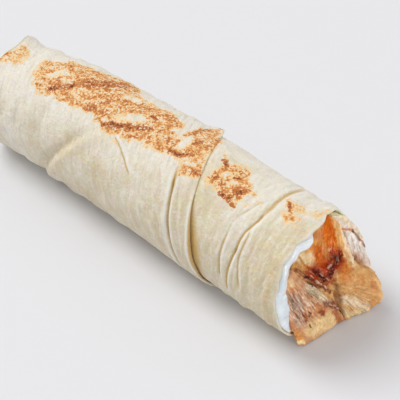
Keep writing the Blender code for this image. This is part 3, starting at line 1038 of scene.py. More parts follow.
    def build(self) -> Piece:
        """Makes the bread and dresses it.

        Returns:
            The piece.
        """
        turn = self.turns()
        xs, radii = self.outer_rows(turn)
        outer = self.roll.round_point(xs, np.broadcast_to(turn, xs.shape), radii)
        lift = self.end_rise * (1 - smooth(xs, self.roll.end_x, self.roll.end_x + self.end_lifted))
        outer[..., 2] = np.maximum(outer[..., 2], lift)
        rings = np.concatenate([self.end_rows(turn), outer, *self.inside_rows(turn)])
        far_end = self.on_axis(self.roll.end_x) - (self.end_puff + 0.4, 0.0, 0.0)
        ends = [far_end, self.on_axis(self.wall_steps[-1][0])]
        piece = self.maker.from_rings("bread_roll", rings, *ends)
        self.dress(piece.data, np.concatenate([rings.reshape(-1, 3), ends]))
        return piece

    def on_axis(self, x: float) -> Array:
        """The place on the roll's axis at x."""
        return np.array([x, float(self.roll.bow(np.array(x))), AXIS_Z])

    def inner_radius(self, turn: Array, wall: float) -> Array:
        """The radius inside a wall of this thickness, flat at its base."""
        flat = np.minimum(self.radius - wall, (AXIS_Z - INNER_FLOOR) / np.maximum(-np.cos(turn), 1e-6))
        return np.where(np.cos(turn) < 0, flat, self.radius - wall)

    def inside_rows(self, turn: Array) -> tuple[Array, Array]:
        """The lip round the mouth, and the wall inside it.

        Args:
            turn: The columns' turns.

        Returns:
            The places of the rows of each.
        """
        mouth = self.mouth(turn)
        edge = self.body_radius(mouth, turn)
        lip = []
        for angle in np.radians(np.linspace(75, -90, 7)):
            radius = edge - 0.5 * self.lip * (1 - math.sin(angle))
            lip.append(self.roll.round_point(mouth + 0.5 * math.cos(angle), turn, radius))
        lip = np.array(lip)
        lip[..., 2] = np.maximum(lip[..., 2], 0.15)
        walls = [(mouth + x, self.inner_radius(turn, wall)) for x, wall in self.wall_steps]
        return lip, np.array([self.roll.round_point(x, turn, radius) for x, radius in walls])

    def dress(self, mesh: bpy.types.Mesh, points: Array) -> None:
        """Notes the toast, the painted shade and highlights and the straw tone of the skin on its points, and
        gives it its finish.

        Args:
            mesh: The bread's mesh.
            points: Its points, in the roll's frame.
        """
        x = points[:, 0]
        y, z = points[:, 1] - self.roll.bow(x), points[:, 2] - AXIS_Z
        turn, radius = np.arctan2(-y, z), np.hypot(y, z)
        outside = smooth(radius, 20.0, 24.0)
        arc = self.flat.radius * turn
        toast, scorch = ToastedPatches(self.flat, self.grain).at(x, arc, points)
        ochre_and_shade, painted_highlight = self.painted_fold_shade_and_highlight(x, turn, radius)
        # Each crease gets a line of painted shade in its groove and a painted highlight on its side towards
        # the mouth.
        for crease, off, share in self.crease_lines(x, arc):
            ends = crease.shade * crease.ends(share)
            ochre_and_shade = np.maximum(ochre_and_shade, ends * bell(off, 0.0, crease.line))
            painted_highlight = np.maximum(painted_highlight, 0.8 * ends * bell(off, 1.3, 0.7))
        shown = {"toast": toast, "scorch": scorch, "ochre_and_shade": ochre_and_shade, "painted_highlight": painted_highlight}
        shown["flecks"] = smooth(z, -18.0, 0.0)
        for name, values in shown.items():
            Note.NUMBER.keep(mesh, name, values * outside)
        Note.NUMBER.keep(mesh, "straw_and_shade", self.straw_and_shade(x, turn) + 0.5 * (1 - outside))
        Note.SPOT.keep(mesh, "run", self.streaks_run(x, turn, radius) * MM)
        mesh.materials.append(BreadFinish().build())

    def straw_and_shade(self, x: Array, turn: Array) -> Array:
        """How straw-coloured the dough is painted: partly the dough's own tone, along the roll, at the collar
        and near the mouth, and partly painted shade on the lower front and in the hollow beside the hidden
        edge.

        Args:
            x: Where along the roll.
            turn: Where round it.

        Returns:
            The share of straw in its colour.
        """
        hollow, _ = self.tucked(turn)
        along = 0.05 + 0.3 * smooth(x, -30.0, -4.0) - 0.3 * (1 - smooth(x, -150.0, -110.0))
        # Painted shade: more straw on the lower front and in the hollow beside the hidden edge.
        low = 0.6 * front(turn, 42, 150, 25) + 0.35 * bell(x, hollow, 6.0) * self.tuck_shown(turn)
        collar = 0.35 * front(turn, 5, 60, 18) * smooth(x, -34.0, -16.0)
        middle = 0.6 * front(turn, -20, 50, 18) * bell(x, -50.0, 12.0)
        lip = 0.5 * bell(x, self.mouth(turn) - 3.6, 3.2) * front(turn, 10, 140)
        return along + low + collar + middle + lip

    def streaks_run(self, x: Array, turn: Array, radius: Array) -> Array:
        """Places for the finish's streaks.

        Args:
            x: Where along the roll.
            turn: Where round it.
            radius: How far from its axis.

        Returns:
            Places along the wrapped sheet, and along the seam on the folded end.
        """
        seam = turn_between(turn, self.end_seam)
        folded = np.stack([radius * np.sin(seam), 0.2 * radius * np.cos(seam), np.full_like(x, 4.0)], axis=-1)
        disc = np.maximum(smooth(self.end(turn) - x, 0.6, 1.6), 1 - smooth(radius, 21.0, 23.0))[:, None]
        run = self.wrapped(x, turn)
        return run + (folded - run) * disc

    def painted_fold_shade_and_highlight(self, x: Array, turn: Array, radius: Array) -> tuple[Array, Array]:
        """The painted shade of the folds and pockets, and the painted highlights on their edges.

        Args:
            x: Where along the roll.
            turn: Where round it.
            radius: How far from its axis.

        Returns:
            How much painted yellow-brown shade the skin has in them, and how much painted highlight on their
            edges.
        """
        _, free = self.flap_edges(turn)
        off, beside = x - free, x - self.pleat(turn)
        gaping, present = self.gape(turn), self.flap_present(turn)
        pocket = 0.72 * gaping**0.5 * smooth(off, -0.5, 0.1) * (1 - smooth(off, gaping, 2.0 + 7.0 * gaping))
        under = (radius < self.skin_radius(x, turn) - 0.55) & (off > -5.5) & (off < 0.3)
        where = front(turn, 32, 118, 6)
        # Painted shade in the pocket by the gaping free edge, under the flap, along its tight edge, in the
        # pleat's groove and on the roll's underside; also a yellow-brown band just behind the mouth on the
        # front.
        ochre_and_shade = (
            pocket,
            np.where(under, 0.55 * present * front(turn, 20, 126), 0.0),
            0.5 * bell(off, 0.3, 0.4) * present * front(turn, -60, 45),
            0.6 * bell(beside, 0.3, 0.42) * where + 0.5 * bell(beside, 0.5, 1.1) * front(turn, 22, 42, 6),
            0.34 * front(turn, 36, 140, 16) * bell(x, self.mouth(turn) - 3.4, 2.6),
            0.5 * smooth(np.abs(turn_between(turn, degrees(4))), degrees(124), degrees(168)),
        )
        # Painted highlights on the free edge's bead, beside the pleat and along the lip.
        painted_highlight = (
            0.9 * bell(off, -0.7, 0.55) * front(turn, 44, 130) * present,
            0.6 * (bell(beside, -1.1, 0.8) + bell(beside, 1.9, 0.6)) * where,
            0.25 * bell(x, self.mouth(turn) + 0.2, 0.7),
        )
        bright = np.minimum(np.maximum.reduce(painted_highlight), 1.0) * (1 - np.clip(pocket, 0, 1))
        return np.maximum.reduce(ochre_and_shade), bright


@dataclass(frozen=True)
class Crease:
    """A fold line in the skin, given by the photograph's pixels from its top to its foot."""

    pixels: tuple[float, ...]
    depth: float
    width: float
    ridge: float
    # shade: how strongly the groove is painted darker (painted shade); line: the width of that painted line.
    shade: float = 0.5
    line: float = 0.45
    fade: float = 0.12

    def ends(self, share: Array) -> Array:
        """1 along the line and 0 past its ends."""
        return smooth(share, 0.0, self.fade) * (1 - smooth(share, 1 - self.fade, 1.0))

    def height(self, off: Array, share: Array) -> Array:
        """A groove with a steep side, and a low ridge on its side towards the mouth.

        Args:
            off: How far the places lie from the line, in mm, with a sign for the side.
            share: How far along the line they lie, from 0 to 1.

        Returns:
            How much each place is raised.
        """
        groove = bell(off, 0.0, np.where(off < 0, 0.7, 1.3) * self.width)
        side = bell(off, 2.6 * self.width, 1.6 * self.width)
        return self.ends(share) * (self.ridge * side - self.depth * groove)


CREASES = each(
    Crease,
    ((312, 186, 297, 189, 289, 192, 279, 199, 271, 207, 260, 217, 252, 225), 0.6, 1.3, 0.35, 0.6, 1.1, 0.25),
    ((266, 211, 258, 220, 250, 227, 244, 232, 239, 240, 235, 249, 231, 257), 0.65, 0.7, 0.35, 0.8, 0.5),
    ((237, 244, 232, 255, 228, 264, 226, 273, 225, 283, 227, 292), 0.7, 0.7, 0.35, 0.85, 0.55),
    ((252, 226, 247, 237, 242, 248, 238, 258, 236, 268, 236, 280, 238, 291), 0.45, 0.6, 0.25, 0.6, 0.45),
    ((268, 200, 259, 203, 249, 209, 240, 214, 233, 220, 229, 227, 226, 234), 0.35, 0.6, 0.2, 0.45, 0.45),
    ((229, 227, 225, 236, 221, 246, 218, 256, 217, 267, 218, 279), 0.55, 0.7, 0.3, 0.65, 0.5),
    ((113, 134, 116, 139, 120, 147, 124, 159, 127, 168, 131, 178), 0.5, 0.5, 0.25, 0.75, 0.35, 0.15),
    ((132, 178, 138, 190, 146, 202, 155, 213, 161, 224, 165, 238), 0.3, 0.8, 0.2, 0.25, 0.6, 0.3),
    ((160, 160, 160, 175, 161, 190, 160, 205), 0.25, 0.6, 0.2, 0.3, 0.4, 0.3),
    ((299, 214, 306, 219, 314, 221, 320, 219), 0.25, 0.7, 0.2, 0.15, 0.5, 0.3),
    ((20, 92, 15, 106, 13, 120, 17, 134), 0.8, 2.4, 0.5, 0.0, 1.0, 0.35),
    ((47, 100, 41, 114, 36, 128, 34, 142), 0.8, 2.4, 0.5, 0.0, 1.0, 0.35),
    ((2, 96, 0, 108, 1, 122), 0.6, 2.0, 0.4, 0.0, 1.0, 0.35),
    ((98, 158, 97, 170, 100, 186, 106, 200), 0.45, 1.8, 0.3, 0.05, 0.8, 0.35),
    ((118, 190, 124, 204, 133, 218), 0.4, 1.6, 0.3, 0.05, 0.8, 0.35),
    ((142, 184, 148, 198, 158, 216, 162, 232), 0.35, 1.2, 0.25, 0.15, 0.8, 0.3),
    ((277, 222, 268, 234, 260, 248, 255, 264, 252, 282), 0.35, 1.5, 0.3, 0.12, 0.8, 0.3),
    ((262, 230, 254, 244, 248, 260, 246, 276, 247, 296), 0.35, 1.2, 0.3, 0.15, 0.8, 0.3),
    ((288, 226, 280, 238, 272, 252, 266, 268), 0.25, 1.2, 0.25, 0.1, 0.8, 0.3),
)


@dataclass(frozen=True)
class ToastedPatches:
    """Where the outer side is browned by the grill."""

    flat: Unrolled
    grain: Grain

    FRAYED = ((1.5, 11, 4.2), (1.0, 71, 1.7))
    # A patch is its strength and its outline's pixels. A streak is its line's two pixels, its
    # radius and its strength.
    PATCHES = (
        (0.78, (-8, 58, -2, 50, 12, 44, 29, 38, 30, 46, 26, 52, 20, 58, 14, 62, 4, 61)),
        (1.0, (
            31, 80, 33, 70, 42, 60, 57, 58, 76, 62, 96, 69, 115, 76, 128, 82, 141, 89, 141, 97, 149, 103,
            166, 111, 179, 119, 184, 127, 176, 133, 180, 138, 192, 131, 205, 129, 224, 129, 221, 140,
            215, 150, 207, 158, 203, 169, 197, 178, 190, 176, 180, 174, 184, 163, 172, 155, 158, 151,
            148, 147, 137, 141, 125, 139, 112, 135, 104, 130, 96, 122, 90, 113, 79, 109, 66, 104, 51, 97,
            40, 91, 33, 86,
        )),
        (0.98, (
            225, 155, 231, 165, 243, 164, 250, 171, 251, 183, 254, 192, 248, 195, 243, 200, 234, 207,
            228, 203, 222, 196, 218, 190, 210, 183, 205, 178, 214, 171, 222, 168,
        )),
        (0.78, (
            286, 198, 297, 200, 304, 205, 306, 211, 301, 221, 292, 223, 284, 219, 282, 213, 286, 207,
        )),
        (0.66, (309, 210, 326, 207, 333, 210, 323, 214, 319, 219, 315, 218)),
    )
    BROWN = (
        (49, 88, 66, 85, 1.7, 1.0), (66, 85, 74, 84, 1.2, 1.3), (86, 83, 124, 86, 3.6, 0.85),
        (84, 97, 113, 97, 0.9, 0.6), (87, 104, 110, 102, 1.0, 0.7), (85, 109, 96, 108, 1.4, 0.8),
        (103, 113, 112, 110, 0.8, 0.8), (104, 125, 150, 129, 1.7, 0.95), (112, 126, 114, 128, 0.9, 1.2),
        (124, 136, 148, 138, 0.8, 0.7), (134, 102, 142, 104, 1.0, 0.8), (152, 117, 156, 120, 1.2, 1.0),
        (158, 113, 172, 120, 1.6, 0.6), (166, 139, 176, 145, 1.6, 0.7), (170, 152, 180, 156, 1.4, 0.9),
        (183, 154, 192, 156, 1.3, 0.9), (192, 143, 203, 142, 1.6, 0.95), (194, 133, 210, 131, 1.2, 0.7),
        (216, 130, 221, 131, 1.3, 0.6), (192, 171, 198, 175, 1.6, 0.75), (225, 160, 227, 168, 1.5, 0.95),
        (214, 178, 219, 174, 1.1, 0.9), (220, 183, 226, 184, 0.9, 0.8), (233, 178, 240, 179, 0.7, 1.1),
        (237, 170, 248, 174, 1.1, 0.6), (220, 193, 229, 198, 1.4, 0.95), (228, 200, 233, 206, 1.1, 0.9),
        (236, 194, 245, 191, 1.3, 0.95), (234, 190, 241, 187, 0.8, 0.8), (249, 184, 250, 190, 0.7, 0.7),
        (289, 201, 290, 205, 0.9, 0.8), (289, 209, 293, 211, 0.9, 0.9),
    )
    HOLES = (
        (50, 72, 64, 72, 1.8, 0.8), (64, 78, 74, 78, 0.9, 0.6), (75, 88, 84, 90, 1.2, 0.6),
        (122, 118, 142, 119, 2.2, 0.9), (126, 97, 138, 99, 1.8, 0.9), (98, 117, 104, 120, 0.9, 0.7),
        (182, 145, 189, 140, 2.1, 1.0), (172, 130, 184, 133, 1.0, 0.9), (222, 173, 230, 173, 1.0, 0.9),
        (229, 183, 236, 183, 1.1, 0.9), (186, 164, 192, 166, 1.0, 0.8), (296, 212, 302, 216, 1.0, 0.9),
        (284, 208, 287, 213, 0.8, 0.6),
    )
    SMALL = (
        (294, 225, 296, 226, 0.8, 0.6), (257, 201, 262, 203, 0.9, 0.7), (243, 207, 249, 203, 0.5, 0.5),
        (252, 193, 255, 194, 0.9, 0.8), (303, 232, 306, 232, 0.7, 0.35), (262, 212, 270, 208, 0.5, 0.4),
        (203, 182, 204, 182, 0.6, 0.6), (205, 186, 206, 186, 0.5, 0.6), (114, 140, 117, 144, 0.7, 0.6),
        (144, 146, 149, 147, 0.8, 0.45), (236, 160, 238, 161, 0.4, 0.5), (246, 165, 247, 166, 0.5, 0.5),
    )

    def joined(self, x: Array, arc: Array, streaks: Sequence[Sequence[float]], ragged: Array) -> Array:
        """What several streaks make together.

        Args:
            x: The places' x.
            arc: Their way round the roll.
            streaks: The streaks.
            ragged: How far their edges are frayed at each.

        Returns:
            A value from 0 to 1 for each place.
        """
        left = np.ones_like(x)
        for *line, radius, strength in streaks:
            far = np.abs(self.flat.line_distance(x, arc, self.flat.places(line))[0]) + ragged
            left *= 1 - np.minimum(1.0, strength * (1 - smooth(far, 0.4 * radius, 1.5 * radius)))
        return 1 - left

    def at(self, x: Array, arc: Array, points: Array) -> tuple[Array, Array]:
        """How toasted and how scorched the skin is.

        Args:
            x: The places' x.
            arc: Their way round the roll.
            points: The places in space, for the noise.

        Returns:
            Two values from 0 to 1 for each place.
        """
        ragged = self.grain.mixed(points, self.FRAYED)
        toast = self.joined(x, arc, self.SMALL, 0.2 * ragged)
        for strength, outline in self.PATCHES:
            depth = self.flat.inside(x, arc, self.flat.places(outline))
            toast = np.maximum(toast, strength * smooth(depth + ragged, -1.9, 1.7))
        brown = self.joined(x, arc, self.BROWN, 0.35 * ragged)
        holes = self.joined(x, arc, self.HOLES, 0.85 * ragged)
        return np.clip(toast + 0.35 * brown, 0.0, 1.3) * (1 - 0.8 * holes), brown * (1 - holes)


@dataclass(frozen=True)
class SauceFinish:
    """Thick white garlic sauce, wet and a little see-through."""

    white: Colour = eye(239, 244, 247)
    shade: Colour = eye(218, 227, 233)

    def build(self) -> bpy.types.Material:
        """Makes the material.

        Returns:
            The material.
        """
        shader = Shader("white_sauce")
        shader.set(
            Base_Color=shader.mix(shader.rise(shader.noise(6, 2, 0.5), 0.4, 0.65), self.white, self.shade),
            Roughness=0.2,
            Subsurface_Weight=0.4,
            Subsurface_Scale=0.002,
            Subsurface_Radius=(1.0, 0.9, 0.8),
            Coat_Weight=0.5,
            Coat_Roughness=0.1,
        )
        shader.bump([(shader.noise(2.2, 2, 0.5), 0.10)], 0.4)
        return shader.material


@dataclass
class Filling:
    """What the pieces in the mouth share: the space inside the bread, and the sauce's share of it."""

    bread: Flatbread
    gap: float = 0.3
    lowest: float = 0.5
    last_station: float = -14.0
    sauce_at: tuple[Pair, ...] = (
        (5, 0.8), (10, 4.2), (20, 5.8), (32, 5.0), (50, 5.5), (63, 5.2), (74, 6.0), (85, 7.0),
        (97, 6.3), (109, 5.0), (118, 3.3), (127, 1.8), (139, 0.8),
    )

    def cavity(self, turn: Array) -> Array:
        """The radius of the space inside the bread."""
        return self.bread.inner_radius(turn, self.bread.wall)

    def sauce(self, turn: Array) -> Array:
        """The sauce's thickness.

        Args:
            turn: The turns to read.

        Returns:
            The thickness there, 0 outside the sauce's band.
        """
        turns, thick = np.array(self.sauce_at).T
        here = turn_between(turn, 0.0)
        layers = [np.interp(here + degrees(aside), degrees(turns), thick) for aside in (-4, -2, 0, 2, 4)]
        inside = (here > degrees(turns[0])) & (here < degrees(turns[-1]))
        return np.where(inside, sum(layers) / len(layers), 0.0)

    def room(self, turn: Array) -> Array:
        """The radius that is left for the chicken."""
        sauce = np.maximum.reduce([self.sauce(turn + degrees(aside)) for aside in (-1, 0, 1)])
        return self.cavity(turn) - np.where(sauce > 0, sauce - self.gap, self.gap)

    def place(self, x: Array, y: Array, z: Array) -> Array:
        """Carries places of the section at the last station along to x.

        Args:
            x: Where along the roll.
            y: Across the section.
            z: Up in the section.

        Returns:
            Places in the roll's frame, further out where the bread's wall thins towards the lip.
        """
        bread = self.bread
        mouth = bread.mouth(np.arctan2(-y, z - AXIS_Z))
        share = np.clip((x - self.last_station) / (mouth - self.last_station), 0.0, 1.0)
        widest = (bread.radius - bread.lip) / (bread.radius - bread.wall)
        grown = 1 + (widest - 1) * share
        up = AXIS_Z + (z - AXIS_Z) * grown
        return np.stack([x, y * grown + bread.roll.bow(x), np.maximum(self.lowest, up)], axis=-1)


@dataclass
class WhiteSauce:
    """The band of sauce along the front wall, bulging out between the bread and the chicken."""

    filling: Filling
    maker: MeshMaker
    grain: Grain
    first: float = degrees(7)
    last: float = degrees(139)
    steps: int = 170
    around: int = 72
    depth: float = 14.0
    roundness: float = 0.75
    swells: Rows = ((0.5, 0, 6.0), (0.25, 20, 2.8))

    def ring(self, turn: float) -> Array:
        """The band's section at one turn.

        Args:
            turn: The turn.

        Returns:
            The places round the section.
        """
        filling, here = self.filling, np.array(turn)
        ends = float(smooth(here, degrees(6), degrees(12)) * (1 - smooth(here, degrees(118), degrees(138))))
        bulge = 0.4 + 1.7 * ends + 0.6 * float(bell(here, degrees(95), degrees(24)))
        angle = np.linspace(0, 2 * math.pi, self.around, endpoint=False)
        along, up = np.cos(angle), np.sin(angle)
        outward = along > 0
        reach = np.where(outward, bulge, self.depth) * np.abs(along) ** self.roundness
        x = float(filling.bread.mouth(here)) - 0.7 + np.where(outward, reach, -reach)
        sunk = 0.5 * float(filling.sauce(here)) * (1 - np.sign(up) * np.abs(up) ** self.roundness)
        radius = float(filling.cavity(here)) - 0.1 - sunk
        spot = np.stack([x, np.full_like(x, 26 * turn), radius], -1)
        x = x + self.grain.mixed(spot, self.swells) * outward * ends
        return filling.place(x, -radius * math.sin(turn), AXIS_Z + radius * math.cos(turn))

    def build(self) -> Piece:
        """Makes the sauce and gives it its finish.

        Returns:
            The piece.
        """
        rings = np.array([self.ring(turn) for turn in np.linspace(self.first, self.last, self.steps)])
        piece = self.maker.from_rings("sauce_band", rings, rings[0].mean(0), rings[-1].mean(0))
        piece.data.materials.append(SauceFinish().build())
        return piece


@dataclass(frozen=True)
class Joint:
    """A straight joint in the mouth's plane. The piece lies on its left, from start to end."""

    start: Pair
    end: Pair
    overlap: float = 0.25

    def reach(self, centre: Pair, way: Array) -> Array:
        """How far the joint is from a place.

        Args:
            centre: The place.
            way: Unit vectors.

        Returns:
            The distance along each of them.
        """
        across = np.subtract(self.end, self.start)
        outward = np.array([across[1], -across[0]]) / np.linalg.norm(across)
        rate = way @ outward
        far = (outward @ np.subtract(self.start, centre) + self.overlap) / np.where(rate > 1e-6, rate, 1.0)
        return np.where(rate > 1e-6, far, np.inf)


@dataclass(frozen=True)
class Dab:
    """A stroke on the chicken along a line of the photograph's pixels.

    It colours the skin, and can raise it (in mm) or wet it; some strokes are painted glints, highlights or
    shade.
    Its width is half its breadth, in pixels. The colours of the chicken are as the eye sees them, from 0 to
    255.
    """

    line: tuple[float, ...]
    width: float
    colour: Colour
    strength: float = 1.0
    height: float = 0.0
    wet: float = 0.0

    def cover(self, px: Array, py: Array) -> Array:
        """How far the stroke covers pixels.

        Args:
            px: The pixels' way to the right.
            py: Their way down.

        Returns:
            A value from 0 to its strength for each.
        """
        far = np.full_like(px, np.inf)
        for (x, y), (end_x, end_y) in itertools.pairwise(np.reshape(self.line, (-1, 2))):
            dx, dy = end_x - x, end_y - y
            part = np.clip(((px - x) * dx + (py - y) * dy) / (dx * dx + dy * dy), 0, 1)
            far = np.minimum(far, np.hypot(px - x - part * dx, py - y - part * dy))
        return self.strength * (1 - smooth(far / self.width, 0.45, 1.4))


@dataclass(frozen=True)
class Fibres:
    """Meat fibres that fan out from one pixel of the photograph, strongest round another.

    Their size and their reach are in pixels, their height in millimetres. Their crests are painted paler,
    partly with painted highlight, and their grooves darker with painted shade.
    """

    fan: Pair
    middle: Pair
    reach: float
    size: float = 2.4
    height: float = 0.3
    # How strongly the crests are painted paler (painted highlight) and the grooves darker (painted shade).
    contrast: float = 0.3
    pale: Colour = (240, 222, 196)

    def at(self, px: Array, py: Array) -> tuple[Array, Array]:
        """The fibres at pixels.

        Args:
            px: The pixels' way to the right.
            py: Their way down.

        Returns:
            Places that change fast across the fibres and slowly along them, and how strongly
            the fibres show.
        """
        across, down = px - self.fan[0], py - self.fan[1]
        swung = np.arctan2(down, across) * math.dist(self.fan, self.middle)
        places = np.stack([swung, np.hypot(across, down) / 8, np.full_like(px, 3.0)], -1)
        return places, bell(np.hypot(px - self.middle[0], py - self.middle[1]), 0.0, self.reach)


@dataclass(frozen=True)
class Head:
    """How far a piece stands out of the mouth at each place of its section.

    A knoll is a place, a height and a width, and a ramp a level, a way (1 up or -1 down) and a slope.
    """

    base: float
    by_y: float = 0.0
    by_z: float = 0.0
    knolls: tuple[tuple[Pair, float, float], ...] = ()
    ramps: Rows = ()

    def at(self, y: Array, z: Array) -> Array:
        """The head's x.

        Args:
            y: Across the section.
            z: Up in the section.

        Returns:
            The x of each place.
        """
        total = self.base + self.by_y * y + self.by_z * z
        for place, height, width in self.knolls:
            total = total + height * bell(np.hypot(y - place[0], z - place[1]), 0.0, width)
        for level, way, slope in self.ramps:
            total = total + slope * np.logaddexp(0.0, way * (z - level))
        return total


@dataclass(frozen=True)
class ChickenFinish:
    """Roast chicken, coloured by the tint on its points and glossy where it is wet. Its fibres' ridges are
    painted paler, partly with painted highlight, and their grooves darker with painted shade.
    """

    name: str
    stringy: float
    coat: float = 0.06
    paleness: float = 0.5
    fibre_pale_and_highlight: Colour = eye(232, 214, 198)

    def build(self) -> bpy.types.Material:
        """Makes the material, which reads the notes that ChickenStrip.paint keeps on the points.

        Returns:
            The material.
        """
        shader = Shader(self.name)
        fine = shader.noise(0.7, 4, 0.65, 0.4)
        blotch = shader.noise(2.6, 3, 0.6, 0.5)
        strands = shader.spread(shader.noise(0.5, 3, 0.65, 0.1, shader.kept("run", "Vector")), 1.0)
        strands = shader.sum("MULTIPLY", strands, shader.rise(shader.kept("fibrous"), 0.15, 1.0, 0.05))
        light = shader.sum("ADD", shader.spread(fine, 0.75), shader.spread(blotch, 0.45))
        # Strands make the fibres' ridges lighter and their grooves darker: painted highlight and painted
        # shade.
        light = shader.sum("ADD", light, shader.sum("MULTIPLY", strands, self.stringy))
        colour = shader.shaded(shader.kept("tint", "Color"), shader.sum("ADD", light, 1.0))
        wet = shader.kept("wet")
        shader.set(
            # Pale fibre crests: the meat's own pale strands with painted highlight.
            Base_Color=shader.laid(colour, [(strands, 0.06, 0.26, self.paleness, self.fibre_pale_and_highlight)]),
            Roughness=shader.rise(wet, 0.0, 1.0, 0.52, 0.2),
            Coat_Weight=shader.rise(wet, 0.0, 1.0, 0.0, self.coat),
            Coat_Roughness=0.1,
            Subsurface_Weight=0.08,
            Subsurface_Scale=0.0012,
            Subsurface_Radius=(1.0, 0.5, 0.25),
            Specular_IOR_Level=0.07,
        )
        shader.bump([(fine, 0.22), (blotch, 0.3), (strands, 0.3)], 0.9)
        return shader.material


